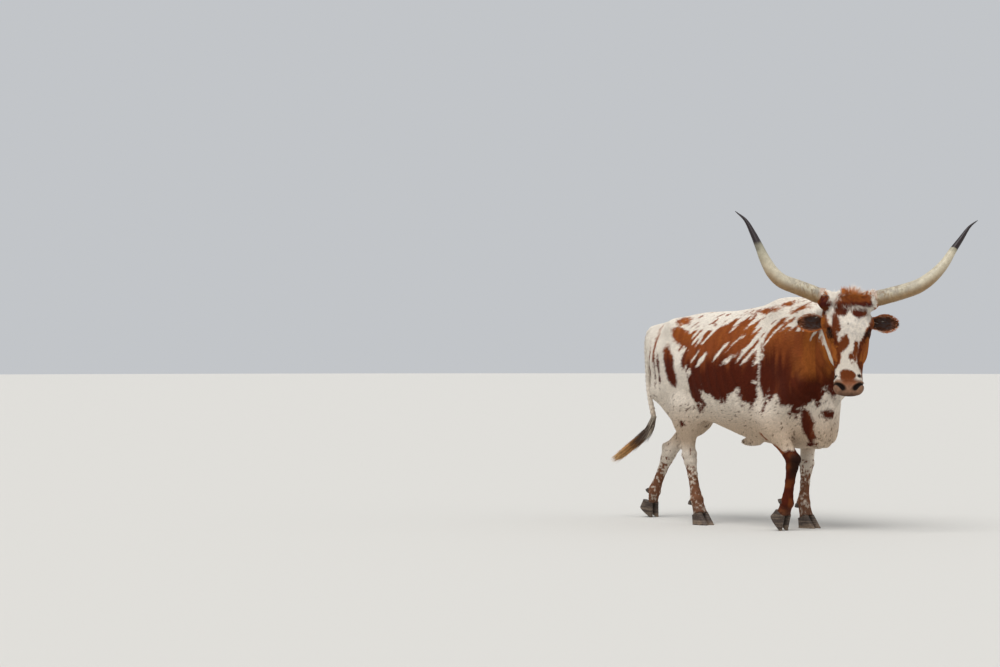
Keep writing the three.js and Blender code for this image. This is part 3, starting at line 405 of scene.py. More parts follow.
def foot_of(leg):
    """A foot's own axes, tipped by its pitch, and the middle and slope of its coronet band."""
    angle = math.radians(leg["pitch"])
    ahead = np.array([math.cos(angle), 0.0, -math.sin(angle)])
    up = np.array([math.sin(angle), 0.0, math.cos(angle)])
    lift = CLAW_TOE * math.sin(angle) - TOE_WEAR if leg["pitch"] else 0.0
    origin = np.array([*leg["sole"], lift])
    coronet = origin - CORONET_BACK * ahead + CORONET_HEIGHT * up
    band = up * math.cos(CORONET_SLOPE) - ahead * math.sin(CORONET_SLOPE)
    return origin, ahead, up, coronet, band


def fore_leg(leg, p):
    """Shoulder blade, upper arm, forearm, knee, cannon and pastern, and the point of the elbow."""
    side, elbow, knee, fetlock = leg["side"], leg["elbow"], leg["knee"], leg["fetlock"]
    coronet = foot_of(leg)[3]
    blade = [([395, 84 * side, 1280], 60, 40), ([455, 150 * side, 1090], 118, 60)]
    blade.append((leg["shoulder"], 96, 66))
    high_elbow = np.array(elbow, dtype=float) + [0, 0, 20]
    arm = [(leg["shoulder"], 98, 70), (high_elbow, 88, 62), (between(elbow, knee, 0.2), 80, 56)]
    lower = [
        (between(elbow, knee, 0.1), 80, 56),
        (between(elbow, knee, 0.45), 62, 50),
        (between(elbow, knee, 0.82), 42, 38),
        (knee, 45, 43),
        (between(knee, fetlock, 0.18), 37, 34),
        (between(knee, fetlock, 0.5), 30, 25),
        (between(knee, fetlock, 0.85), 32, 28),
        (fetlock, 39, 39),
        (between(fetlock, coronet, 0.6), 33, 37),
        (coronet, 40, 47),
    ]
    d = soft_min(limb(blade, 60, p), limb(arm, 50, p), 45)
    d = soft_min(d, limb(lower, 12, p), 45)
    return soft_min(d, ellipsoid(np.array(elbow) + [-52, 0, 12], [40, 30, 45], p), 40)


def hind_leg(leg, p):
    """Thigh, hamstring, gaskin, hock with its tendon, cannon and pastern."""
    side, hip, stifle = leg["side"], leg["hip"], leg["stifle"]
    hock, fetlock = np.array(leg["hock"], dtype=float), np.array(leg["fetlock"], dtype=float)
    coronet = foot_of(leg)[3]
    heel = hock - unit(fetlock - hock) * 34 + [-46, 0, 12]
    upper = [
        (hip, 140, 84),
        (between(hip, stifle, 0.55), 150, 76),
        (stifle, 96, 66),
        (between(stifle, hock, 0.35), 84, 56),
    ]
    buttock = between([-610, 112 * side, 880], between(stifle, hock, 0.2), 0.3)
    hamstring = [([-600, 80 * side, 1060], 60, 52), (buttock, 84, 60)]
    hamstring.append((between(stifle, hock, 0.4), 70, 48))
    lower = [
        (between(stifle, hock, 0.25), 88, 58),
        (between(stifle, hock, 0.6), 62, 46),
        (between(stifle, hock, 0.88), 40, 35),
        (hock, 50, 40),
        (between(hock, fetlock, 0.16), 42, 34),
        (between(hock, fetlock, 0.45), 32, 26),
        (between(hock, fetlock, 0.85), 33, 29),
        (fetlock, 40, 40),
        (between(fetlock, coronet, 0.6), 34, 38),
        (coronet, 41, 47),
    ]
    tendon = [
        (between(between(stifle, hock, 0.5), heel, 0.25), 34, 26),
        (between(between(stifle, hock, 0.7), heel, 0.75), 18, 17),
        (heel, 22, 22),
    ]
    d = soft_min(limb(upper, 60, p), limb(hamstring, 60, p), 50)
    d = soft_min(d, limb(lower, 12, p), 50)
    return soft_min(d, limb(tendon, 15, p), 26)


def leg_box(leg):
    """A box round a leg with room to spare: the lowest and the highest corner."""
    places = [leg[joint] for joint in JOINTS if joint in leg]
    if "hip" in leg:
        places += [[*leg["sole"], 0], [-600, 0, 1060]]
    spots = np.array(places, dtype=float)
    low = spots.min(0) - [330, 0, 150]
    high = spots.max(0) + [260, 0, 460]
    low[1], high[1] = (-60, 420) if leg["side"] > 0 else (-420, 60)
    low[2] = -60
    return low, high


def leg_distance(leg, p):
    """A leg's distance, clipped at the coronet band, where the horn of the claws begins."""
    low, high = leg_box(leg)
    shape = fore_leg if "knee" in leg else hind_leg
    coronet, band = foot_of(leg)[3:]

    def clipped(q):
        return np.maximum(shape(leg, q), (coronet - q) @ band)

    return only_near(low, high, p, clipped)


print("legs:", [leg["name"] for leg in LEGS])

# %% [markdown]
# ## Head
# The skull is another loft, in the head's own frame: a runs down the nose from the poll, b to the
# animal's left and c out of the forehead. The crest of the poll, brows, cheeks, lips, chin and the
# wings of the nostrils are soft masses on it.

# %% Head as a distance
HEAD = [
    [-30, -34, -118, 84, -70, 2.0, 2.0],
    [20, 2, -165, 118, -72, 2.3, 2.0],
    [80, 16, -208, 124, -72, 2.6, 2.0],
    [150, 20, -240, 120, -66, 2.7, 1.9],
    [215, 16, -252, 111, -68, 2.6, 1.8],
    [290, 4, -228, 99, -74, 2.5, 1.9],
    [370, -8, -194, 88, -78, 2.4, 2.0],
    [440, -20, -168, 80, -82, 2.4, 2.2],
    [502, -30, -154, 82, -88, 2.5, 2.4],
    [544, -46, -140, 73, -92, 2.4, 2.3],
    [568, -70, -118, 48, -94, 2.2, 2.2],
]
CREST = [([16, -126, -46], 46, 46), ([2, 0, -40], 44, 50), ([16, 126, -46], 46, 46)]
HEAD_MASSES = [
    ([202, 94, -38], [54, 32, 42], 34),
    ([262, 78, -160], [92, 36, 70], 60),
    ([135, 108, -96], [42, 40, 40], 40),
    ([14, 132, -44], [56, 48, 56], 30),
    ([530, 54, -64], [36, 28, 30], 26),
]
LIP = ([534, 0, -80], [40, 73, 40], 24)
CHIN = ([512, 0, -144], [44, 55, 22], 22)


def head_distance(p):
    """The skull's loft joined with the crest, and with each mass on both sides."""
    q = to_head(p)
    d = loft(HEAD, 26, q)
    d = soft_min(d, limb(CREST, 30, q, np.array([0.0, 0.0, 1.0])), 44)
    for centre, radii, width in HEAD_MASSES:
        for s in (-1, 1):
            d = soft_min(d, ellipsoid([centre[0], centre[1] * s, centre[2]], radii, q), width)
    for centre, radii, width in (LIP, CHIN):
        d = soft_min(d, ellipsoid(centre, radii, q), width)
    return d


print("head: distance at the brow", head_distance(from_head([[200.0, 0.0, 0.0]])))

# %% [markdown]
# ## The rest of the skin's form
# The tail grows out of the rump, so it belongs to the same skin. The fine forms come last: eye
# sockets with lids and the wrinkles over them, nostrils, the mouth, folds of loose skin on the
# throat and low ridges of ribs. Each is a few millimetres, too fine for the CAD solids.

# %% Paths: a smooth curve through points
EYE_RADIUS = 21.0
EYE_AXIS = unit([-0.02, 0.73, 0.68])
TAIL_PATH = [
    [-640, 0, 1170], [-715, 0, 1160], [-756, 0, 1095], [-760, 0, 950],
    [-748, -2, 800], [-718, -6, 690], [-700, -8, 640],
]
TAIL_ROWS = 22
TAIL_RADIUS = [[0, 38], [0.15, 34], [0.3, 23], [0.6, 19], [1, 18]]
SWITCH_PATH = [
    [-700, -8, 640], [-712, -14, 590], [-775, -22, 520],
    [-860, -34, 455], [-935, -44, 405], [-990, -52, 368],
]


def smooth_path(points, count):
    """Evenly spaced points on a curve through the given ones. Each stretch is a blend of three
    straight lines between neighbours, timed by the square root of their distance."""
    points = np.asarray(points, dtype=float)
    ends = np.vstack([2 * points[0] - points[1], points, 2 * points[-1] - points[-2]])
    t = np.linspace(0, 1, 24, endpoint=False)[:, None]
    pieces = []
    for a, b, c, d in zip(ends, ends[1:], ends[2:], ends[3:]):
        ab, bc, cd = [math.sqrt(max(np.linalg.norm(v), 1e-6)) for v in (b - a, c - b, d - c)]
        slope_b = ((b - a) / ab - (c - a) / (ab + bc) + (c - b) / bc) * bc
        slope_c = ((c - b) / bc - (d - b) / (bc + cd) + (d - c) / cd) * bc
        w = 2 * t**3 - 3 * t**2
        pieces.append((1 + w) * b - w * c + (t**3 - 2 * t**2 + t) * slope_b + (t**3 - t**2) * slope_c)
    dense = np.vstack(pieces + [ends[-2:-1]])
    along = np.concatenate([[0], np.cumsum(np.linalg.norm(np.diff(dense, axis=0), axis=1))])
    wanted = np.linspace(0, along[-1], count)
    return np.stack([np.interp(wanted, along, dense[:, k]) for k in range(3)], 1)


def tube(path, radii, width, p):
    """Distance to a round tube along a path: the distance to each straight piece less its radius."""
    total = np.full(len(p), FAR_OUTSIDE)
    for a, b, ra, rb in zip(path, path[1:], radii, radii[1:]):
        span = b - a
        t = np.clip((p - a) @ span / np.dot(span, span), 0.0, 1.0)
        one = np.linalg.norm(p - a - t[:, None] * span, axis=1) - (ra + (rb - ra) * t)
        total = soft_min(total, one, width)
    return total


tail_line = smooth_path(TAIL_PATH, TAIL_ROWS)
tail_radii = table_curve(TAIL_RADIUS, np.linspace(0, 1, TAIL_ROWS))[0]
TAIL_LOW = [-860.0, -120.0, 560.0]
TAIL_HIGH = [-560.0, 120.0, 1280.0]
print("tail is", round(float(np.linalg.norm(np.diff(tail_line, axis=0), axis=1).sum())), "mm long")

# %% The whole body, without its fine forms
LEG_BLEND = 50.0
HEAD_BLEND = 60.0
TAIL_BLEND = 34.0
HEAD_LOW = [520.0, -560.0, 560.0]
HEAD_HIGH = [1420.0, 300.0, 1560.0]


def head_nearby(p):
    """The head's distance inside a box round it, and far outside everywhere else."""
    return only_near(HEAD_LOW, HEAD_HIGH, p, head_distance)


def body_distance(p):
    """Trunk, four legs, head and tail, each softly joined to what is there already."""
    d = trunk_distance(p)
    for leg in LEGS:
        d = soft_min(d, leg_distance(leg, p), LEG_BLEND)
    d = soft_min(d, head_nearby(p), HEAD_BLEND)
    tail = only_near(TAIL_LOW, TAIL_HIGH, p, lambda q: tube(tail_line, tail_radii, 8, q))
    return soft_min(d, tail, TAIL_BLEND)


# %% Fine forms of the face
LID_HALF = 22.0
LID_ARCH = 12.5
UPPER_LID = np.array([3, 4.2, 5, 5.4, 5.4, 5.2, 4.6, 4, 3])
LOWER_LID = np.array([3, 3.4, 3.8, 4, 4, 4, 3.8, 3.4, 3])
MOUTH = [[452, 80, -126], [480, 79, -121], [512, 74, -121], [552, 50, -118], [575, 0, -115]]
NOSTRIL = np.array([529.0, 50.0, -48.0])


def mirrored(points, s):
    """The same points on the side s: the second number changes its sign."""
    return np.asarray(points, dtype=float) * [1.0, s, 1.0]


def eye_frame(s):
    """An eye's middle, the way it looks, the way its corners lie and the way its lids open."""
    look = mirrored(EYE_AXIS, s)
    corner = unit(np.array([1.0, 0.0, 0.0]) - look * look[0])
    return mirrored(EYE, s), look, corner, np.cross(corner, look) * s


def lid_line(s, turn, count, stand):
    """An arc over the ball: across from corner to corner, arched by 1 - t², at one height over it."""
    middle, look, corner, high = eye_frame(s)
    t = np.linspace(-1, 1, count)
    arch = LID_ARCH * turn * (1 - t**2)
    wide = LID_HALF * t
    rise = np.sqrt(np.maximum((EYE_RADIUS + stand) ** 2 - arch**2 - wide**2, 30.0))
    return middle + corner * wide[:, None] + high * arch[:, None] + look * rise[:, None]


def nostril_frame(q, s):
    """Places round one nostril: its axis leans out to the side, and its length leans in as it drops."""
    local = q - mirrored(NOSTRIL, s)
    local = local @ np.array([[1, 0, 0], [0, 0.86, 0.5 * s], [0, -0.5 * s, 0.86]]).T
    local[:, 1] += s * (0.70 * local[:, 0] - 0.008 * local[:, 0] ** 2)
    return local


def face_forms(d, q):
    """Carves sockets, shallow rimmed nostrils and the mouth, in the head's frame, and adds the lids."""
    for s in (-1, 1):
        middle, look, corner, high = eye_frame(s)
        local = np.stack([(q - middle) @ corner, (q - middle) @ high, (q - middle) @ look], 1)
        hole = ellipsoid([0, 0, 17], [25, 13.5, 24], local)
        d = soft_max(d, -hole, 8)
        d = soft_min(d, tube(lid_line(s, 1, len(UPPER_LID), 2.5), UPPER_LID, 3, q), 7)
        d = soft_min(d, tube(lid_line(s, -1, len(LOWER_LID), 1.5), LOWER_LID, 3, q), 6)
        ring = np.hypot(local[:, 0] / 1.5, local[:, 1]) - LID_ARCH
        fade = smooth_step(2, 8, ring) * (1 - smooth_step(16, 30, ring)) * smooth_step(-6, 8, local[:, 1])
        near = (local[:, 2] > 0) * fade
        d = d + 1.1 * np.sin(ring * 2 * math.pi / 8.5) * near
        tear = ellipsoid(mirrored([252, 94, -26], s), [22, 5, 7], q)
        d = soft_max(d, -tear, 6)
        local = nostril_frame(q, s)
        opening = (np.hypot(local[:, 0] / 22, local[:, 1] / 14) - 1) * 14
        near = smooth_step(60, 40, np.abs(local[:, 2]))
        d = d + near * (9 * smooth_step(5, -9, opening) - 3 * np.exp(-(((opening - 6) / 5) ** 2)))
        groove = tube(mirrored(MOUTH, s), np.array([1.5, 3.5, 4.0, 4.0, 4.0]), 2, q)
        d = soft_max(d, -groove, 5)
    return d


def face_box(p):
    """Which points are near the face: a wide margin round the skull."""
    return only_near(HEAD_LOW, HEAD_HIGH, p, lambda q: -np.ones(len(q))) < 0


def wrinkles(p):
    """Low waves in the skin, in millimetres: folds on the throat, faint ribs and the blade's edge."""
    x, y, z = p.T
    throat = smooth_step(560, 680, x) * (1 - smooth_step(880, 960, x))
    throat = throat * smooth_step(0, 60, -y + 0.2 * (1000 - z))
    bend = x + 0.35 * (z - 1000) + 14 * np.sin(z / 70.0)
    folds = 3.2 * throat * np.sin(bend * 2 * math.pi / 58.0)
    barrel = smooth_step(-260, -120, x) * (1 - smooth_step(180, 300, x)) * smooth_step(120, 220, np.abs(y))
    barrel = barrel * smooth_step(640, 760, z) * (1 - smooth_step(1080, 1180, z))
    ribs = 1.5 * barrel * np.sin((x + 0.3 * z) * 2 * math.pi / 62.0)
    blade = np.abs(x - 0.42 * (z - 1100) - 505) - 4
    ridge = 3.0 * np.exp(-((blade / 26.0) ** 2)) * smooth_step(860, 960, z)
    ridge = ridge * (1 - smooth_step(1180, 1300, z))
    return folds + ribs + ridge * smooth_step(90, 150, np.abs(y))


def coat_depth(p):
    """How far the skin lies inside the solids: thinner on the face and the lower legs."""
    q = to_head(p)
    face = smooth_step(40, 140, q[:, 0]) * (np.abs(q[:, 1]) < 200) * (q[:, 2] > -330) * (q[:, 2] < 120)
    low = 1 - smooth_step(380, 620, p[:, 2])
    return 6.0 - 3.6 * np.maximum(face, low)


def skin_distance(p):
    """The whole body, pulled in by the coat's depth, with wrinkles and the fine forms of the face."""
    d = body_distance(p)
    near = face_box(p)
    if near.any():
        d[near] = face_forms(d[near], to_head(p[near]))
    return d + coat_depth(p) + wrinkles(p)


print("fine forms ready", spent(), "s")

# %% [markdown]
# ## From distances to one closed skin
# A grid of points is laid over the body. Wherever the distance changes sign between two
# neighbours, the skin passes between them. Each grid cell that the skin crosses gets one point, at
# the mean of its crossings, and each crossed grid edge gets one square face round it.

# %% Surface from a grid of distances
GRID_LOW = np.array([-840.0, -420.0, 10.0])
GRID_HIGH = np.array([1290.0, 330.0, 1500.0])
GRID_STEP = 10.0
COARSE = 4
COARSE_REACH = 95.0


def grid_distances():
    """Distances on the fine grid. A coarse grid first finds which fine points are near the skin."""
    count = (np.ceil((GRID_HIGH - GRID_LOW) / (GRID_STEP * COARSE)).astype(int) + 1) * COARSE
    axes = [GRID_LOW[k] + GRID_STEP * np.arange(count[k]) for k in range(3)]
    rough_axes = [a[COARSE // 2 :: COARSE] for a in axes]
    rough = np.stack(np.meshgrid(*rough_axes, indexing="ij"), -1).reshape(-1, 3)
    rough_d = body_distance(rough).reshape([len(a) for a in rough_axes])
    value = rough_d.repeat(COARSE, 0).repeat(COARSE, 1).repeat(COARSE, 2).astype(float)
    close = np.argwhere(np.abs(value) < COARSE_REACH)
    spots = GRID_LOW + GRID_STEP * close
    value[close[:, 0], close[:, 1], close[:, 2]] = body_distance(spots) + coat_depth(spots)
    return value


def surface_net(value):
    """One point per crossed cell, one square per crossed edge, facing from inside to outside."""
    inside = value < 0
    shape = np.array(value.shape)
    cells = shape - 1
    total = np.zeros((*cells, 3))
    hits = np.zeros(cells)
    offsets = [(0, 0), (0, 1), (1, 0), (1, 1)]
    for axis in range(3):
        others = [k for k in range(3) if k != axis]
        for first, second in offsets:
            low = [slice(0, -1)] * 3
            low[others[0]] = slice(first, shape[others[0]] - 1 + first)
            low[others[1]] = slice(second, shape[others[1]] - 1 + second)
            high = list(low)
            high[axis] = slice(1, None)
            a, b = value[tuple(low)], value[tuple(high)]
            crossed = inside[tuple(low)] != inside[tuple(high)]
            share = np.where(crossed, a / np.where(crossed, a - b, 1), 0)
            total[..., axis] += share
            total[..., others[0]] += crossed * first
            total[..., others[1]] += crossed * second
            hits += crossed
    used = hits > 0
    number = np.full(cells, -1)
    number[used] = np.arange(used.sum())
    corner = np.argwhere(used)
    points = GRID_LOW + GRID_STEP * (corner + total[used] / hits[used][:, None])
    faces = []
    for axis in range(3):
        u, v = (axis + 1) % 3, (axis + 2) % 3
        low = [slice(1, -1)] * 3
        low[axis] = slice(0, -1)
        high = list(low)
        high[axis] = slice(1, None)
        start, end = inside[tuple(low)], inside[tuple(high)]
        edges = np.argwhere(start != end)
        spot = edges + 1
        spot[:, axis] -= 1
        step_u = np.eye(3, dtype=int)[u]
        step_v = np.eye(3, dtype=int)[v]
        ring = [spot - step_u - step_v, spot - step_v, spot, spot - step_u]
        quad = np.stack([number[r[:, 0], r[:, 1], r[:, 2]] for r in ring], 1)
        outward = start[edges[:, 0], edges[:, 1], edges[:, 2]]
        faces.append(np.where(outward[:, None], quad, quad[:, ::-1]))
    return points, np.vstack(faces)


value = grid_distances()
skin_points, skin_faces = surface_net(value)
print("net:", len(skin_points), "points,", len(skin_faces), "squares", spent(), "s")

# %% [markdown]
# ## Finer squares where the face needs them
# Ten millimetres is fine for a flank but not for an eyelid. The squares on the head are cut in
# four, and those round the eyes, nose and mouth in four again. Then every point slides along the
# slope of the distance until it lies on the skin.

# %% Cut and settle the skin
SETTLE_STEPS = 4
SETTLE_REACH = 6.0
SLOPE_STEP = 0.4


def slope_of(distance, p):
    """How the distance changes along x, y and z, from two nearby values on each axis."""
    slope = np.empty_like(p)
    for k in range(3):
        step = np.zeros(3)
        step[k] = SLOPE_STEP
        slope[:, k] = (distance(p + step) - distance(p - step)) / (2 * SLOPE_STEP)
    return slope


def settle(p, distance, steps, most):
    """Moves points down the slope onto the zero of the distance, at most `most` per step."""
    for _ in range(steps):
        slope = slope_of(distance, p)
        steep = np.maximum((slope**2).sum(1), 0.25)
        move = slope * (distance(p) / steep)[:, None]
        length = np.linalg.norm(move, axis=1, keepdims=True)
        p = p - move * np.minimum(1.0, most / np.maximum(length, 1e-9))
    return p


def on_head(p, near):
    """Which points belong to the head, or with near to its eyes, nose and mouth."""
    q = to_head(p)
    if not near:
        return ((q > [70, -190, -290]) & (q < [620, 190, 90])).all(1)
    eyes = np.linalg.norm(np.abs(q) * [1, 1, 0] + q * [0, 0, 1] - EYE, axis=1) < 46
    muzzle = (q[:, 0] > 445) & (q[:, 0] < 620) & (q[:, 2] > -150) & (np.abs(q[:, 1]) < 120)
    return eyes | muzzle


skin_mesh = bpy.data.meshes.new("skin")
skin_mesh.from_pydata(skin_points.tolist(), [], skin_faces.tolist())
work = bmesh.new()
work.from_mesh(skin_mesh)
for near in (False, True):
    work.verts.ensure_lookup_table()
    spots = np.array([v.co[:] for v in work.verts])
    chosen = on_head(spots, near)
    edges = [e for e in work.edges if chosen[e.verts[0].index] and chosen[e.verts[1].index]]
    bmesh.ops.subdivide_edges(work, edges=edges, cuts=1, use_grid_fill=True)
    work.verts.index_update()
bmesh.ops.triangulate(work, faces=work.faces[:])
work.to_mesh(skin_mesh)
work.free()
raw = np.empty(len(skin_mesh.vertices) * 3, dtype=np.float32)
skin_mesh.vertices.foreach_get("co", raw)
skin_body = settle(raw.reshape(-1, 3).astype(float), skin_distance, SETTLE_STEPS, SETTLE_REACH)
print("settled", len(skin_body), "points", spent(), "s")
skin_normals = unit(slope_of(skin_distance, skin_body))
skin_mesh.vertices.foreach_set("co", room(skin_body).astype(np.float32).ravel())
skin_mesh.update()
skin = new_object("skin", skin_mesh)
skin_mesh.polygons.foreach_set("use_smooth", np.ones(len(skin_mesh.polygons), dtype=bool))
triangles = np.empty(len(skin_mesh.polygons) * 3, dtype=np.int32)
skin_mesh.polygons.foreach_get("vertices", triangles)
triangles = triangles.reshape(-1, 3)
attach(skin, "root")
flesh = ["torso", "neck", "head", "tail"] + ["leg_" + leg["name"] for leg in LEGS]
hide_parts(*flesh)
print("skin:", len(triangles), "triangles", spent(), "s")

# %% [markdown]
# ## Markings and painted shade
# The steer is red-brown on cream. A patch is one or more ellipses seen from the side, whose edge is
# pushed in and out by noise, as real patches fray into single hairs. On the flank the upper edge
# frays into long slanting streaks. One function gives the colour of any point, and both the skin
# and every tuft of hair ask it, so they always agree. It paints shade as well: tan on the belly and
# beneath the jaw, dark in the nostrils, along the mouth and at the muzzle's end, and, in part, brown
# that is darker lower down and orange on top.

# %% Noise
NOISE_SIZE = 32
noise_lattice = np.random.default_rng(7).random((NOISE_SIZE, NOISE_SIZE, NOISE_SIZE))


def noise(p, cell):
    """Smooth values from 0 to 1: a seeded lattice of numbers, blended between its 8 near corners."""
    q = p / cell + 500.0
    i = np.floor(q).astype(int)
    t = q - i
    t = t * t * (3 - 2 * t)
    total = np.zeros(len(p))
    for corner in range(8):
        bit = np.array([corner & 1, corner >> 1 & 1, corner >> 2])
        weight = np.prod(np.where(bit, t, 1 - t), axis=1)
        n = (i + bit) % NOISE_SIZE
        total += weight * noise_lattice[n[:, 0], n[:, 1], n[:, 2]]
    return total


def streaks(p, slant, long, short):
    """Noise drawn out along a slant seen from the side: long cells one way and short ones across."""
    c, s = math.cos(math.radians(slant)), math.sin(math.radians(slant))
    along = (p[:, 0] * c + p[:, 2] * s) / long
    across = (p[:, 2] * c - p[:, 0] * s) / short
    return noise(np.stack([along, across, p[:, 1] / 70.0], 1), 1.0)


def ovals(u, v, table, width):
    """Below zero inside any oval of a table [u, v, half length, half height, turn], softly joined."""
    d = np.full(len(u), 1e3)
    for cu, cv, long, high, degrees in table:
        c, s = math.cos(math.radians(degrees)), math.sin(math.radians(degrees))
        a = (u - cu) * c + (v - cv) * s
        b = (v - cv) * c - (u - cu) * s
        d = soft_min(d, (np.hypot(a / long, b / high) - 1) * min(long, high), width)
    return d


# %% Patches and colours
CREAM = np.array([0.78, 0.70, 0.60])
TAN = np.array([0.56, 0.39, 0.25])
CHESTNUT = np.array([0.24, 0.058, 0.014])
MAROON = np.array([0.082, 0.0125, 0.004])
ORANGE = np.array([0.40, 0.120, 0.022])
# Near black: the real colour of spots and lashes, and painted shade in the nostrils, mouth and muzzle.
DARK_AND_SHADE = np.array([0.020, 0.008, 0.005])
SPECK = np.array([0.13, 0.07, 0.045])
MUZZLE_TAN = np.array([0.27, 0.145, 0.088])
# Seen from the side: [x, z, half length, half height, turn]
RIGHT_PATCHES = [
    [95, 975, 235, 165, -14], [75, 860, 120, 100, -10], [-70, 1025, 165, 100, -20], [20, 1120, 190, 66, 6],
    [185, 1120, 160, 100, 0], [285, 900, 72, 150, 0], [-105, 830, 62, 130, 8], [530, 995, 175, 205, 0],
    [400, 905, 48, 158, 0], [590, 842, 92, 108, -8], [690, 1010, 185, 175, 0], [650, 850, 92, 112, -14],
    [820, 1010, 110, 190, 0],
]
RIGHT_SMALL = [
    [-262, 1132, 118, 46, -24], [-318, 1228, 44, 20, 0], [-345, 970, 45, 125, 22], [-212, 1000, 24, 58, 14],
    [-300, 880, 30, 50, 20], [-246, 615, 20, 20, 0], [645, 612, 34, 105, -4], [737, 690, 24, 26, 0],
    [602, 712, 18, 14, 0], [592, 672, 10, 9, 0], [570, 690, 8, 8, 0], [455, 1328, 52, 14, 8],
    [560, 1298, 60, 20, 18], [300, 1290, 105, 18, 5], [-520, 1040, 15, 130, 8], [-585, 1000, 9, 110, 6],
    [-455, 930, 12, 80, 10],
]
LEFT_PATCHES = [
    [560, 1020, 210, 220, 0], [760, 1060, 170, 190, 0], [-60, 985, 170, 150, 12], [-210, 900, 110, 90, 0],
    [-560, 1090, 110, 90, -18],
]
LEFT_SMALL = [
    [190, 840, 60, 44, 20], [260, 1120, 40, 70, -20], [-380, 820, 40, 60, 0], [60, 700, 26, 20, 0],
    [620, 640, 40, 60, 0], [-300, 1220, 90, 22, 8], [330, 620, 26, 34, 0],
]
# Seen from the front of the face: [b, a, half width, half height, turn]
FACE_PATCHES = [
    [-140, 40, 34, 46, 0], [30, 18, 86, 22, 0], [82, 26, 44, 40, 0], [46, 44, 74, 20, 0],
    [-42, 78, 40, 54, 8], [56, 98, 47, 38, -6], [-74, 172, 24, 56, -14],
    [-34, 285, 27, 52, 22], [34, 325, 13, 62, 6], [10, 360, 15, 22, 0],
    [-8, 466, 46, 38, 0], [-84, 205, 11, 40, -14],
]
FACE_SPOTS = [[-80, 464, 13, 10, 0], [58, 464, 13, 10, 0], [-6, 172, 4, 6, 0]]
# [a, half width of the white blaze]
BLAZE = [
    [-40, 170], [60, 140], [140, 122], [200, 96], [255, 66], [330, 46], [395, 50], [440, 72], [500, 82],
]


def paint(colour, share, new):
    """Lays a new colour over the old one, or over one plain colour, by a share from 0 to 1."""
    share = np.clip(share, 0, 1)[:, None]
    return colour * (1 - share) + np.asarray(new) * share


def edge(d, soft):
    """1 inside a patch and 0 outside, over a soft edge some millimetres wide."""
    return 1 - smooth_step(-soft, soft, d)


def body_markings(p, fray):
    """Cream, with painted tan shade low on the body, side patches and specks. `fray` shifts every edge
    point by point.
    """
    x, y, z = p.T
    right = smooth_step(12, -12, y + 0.02 * x)
    slanted = streaks(p, 52, 150.0, 17.0)
    lumps = noise(p, 46.0) - 0.5
    fine = noise(p, 15.0) - 0.5
    colour = CREAM * (0.93 + 0.14 * noise(p, 70.0))[:, None]
    # Painted shade: tan on the belly, and a little tan toward the bottom of the whole body.
    underside_shade = (1 - smooth_step(560, 760, z)) * smooth_step(420, 520, z) * (np.abs(x) < 800)
    colour = paint(colour, 0.55 * underside_shade + 0.16 * smooth_step(1000, 700, z), TAN)
    specks = noise(p, 9.0) + 0.22 * (noise(p, 60.0) - 0.5)
    belly = (1 - smooth_step(760, 820, z)) * smooth_step(430, 500, z)
    colour = paint(colour, edge((0.80 - specks) * 60 + fray * 0.3, 3) * belly * 0.9, SPECK)
    high = smooth_step(930, 1130, z)
    raggedness = lumps * (60 - 20 * high) + fine * 30 + fray + (slanted - 0.5) * 150 * high
    sides = ovals(x, z, RIGHT_PATCHES, 30) + raggedness
    gap = np.abs(x - (352 + 0.09 * (1023 - z)) + 8 * lumps) - 4 - 9 * smooth_step(1000, 1150, z)
    gap = gap - 14 * smooth_step(880, 790, z)
    sides = np.where(z < 1140, np.maximum(sides, -gap - fray * 0.5), sides)
    holes = (0.68 - slanted) * 90 + 60 * smooth_step(350, 520, x) + 60 * (1 - smooth_step(900, 1000, z))
    sides = np.maximum(sides, -holes - fray * 0.6)
    right_d = np.minimum(sides, ovals(x, z, RIGHT_SMALL, 4) + lumps * 14 + fine * 14 + fray * 0.7)
    left_d = ovals(x, z, LEFT_PATCHES, 30) + raggedness
    left_d = np.minimum(left_d, ovals(x, z, LEFT_SMALL, 4) + lumps * 14 + fine * 14 + fray * 0.7)
    patch = edge(np.where(right > 0.5, right_d, left_d), 5)
    warm = 0.55 * noise(np.stack([x / 26.0, y / 50.0, z / 210.0], 1), 1.0)
    warm = warm + 0.45 * noise(np.stack([x / 11.0 + 40, y / 24.0, z / 120.0], 1), 1.0)
    # Brown: partly its own tone, partly painted shade lower down and painted highlight and sheen on the top
    # and neck.
    deep = smooth_step(1130, 900, z) + (warm - 0.5) * 1.1
    deep = deep - 0.2 * smooth_step(560, 700, x) * smooth_step(830, 930, z)
    brown = paint(CHESTNUT, smooth_step(0.2, 0.9, deep), MAROON)
    neck = smooth_step(560, 680, x) * smooth_step(860, 960, z)
    brown = paint(brown, (0.10 + 0.62 * smooth_step(0.38, 0.66, warm)) * neck, ORANGE)
    brown = paint(brown, 0.55 * smooth_step(1060, 1180, z) * smooth_step(0.35, 0.7, warm), ORANGE)
    colour = paint(colour, patch, brown)
    dashes = streaks(p + 300.0, 38, 60.0, 11.0)
    back = smooth_step(1150, 1230, z) * (x < 700) * (x > -600)
    return paint(colour, edge((0.80 - dashes) * 70 + fray * 0.4, 3) * back, CHESTNUT)


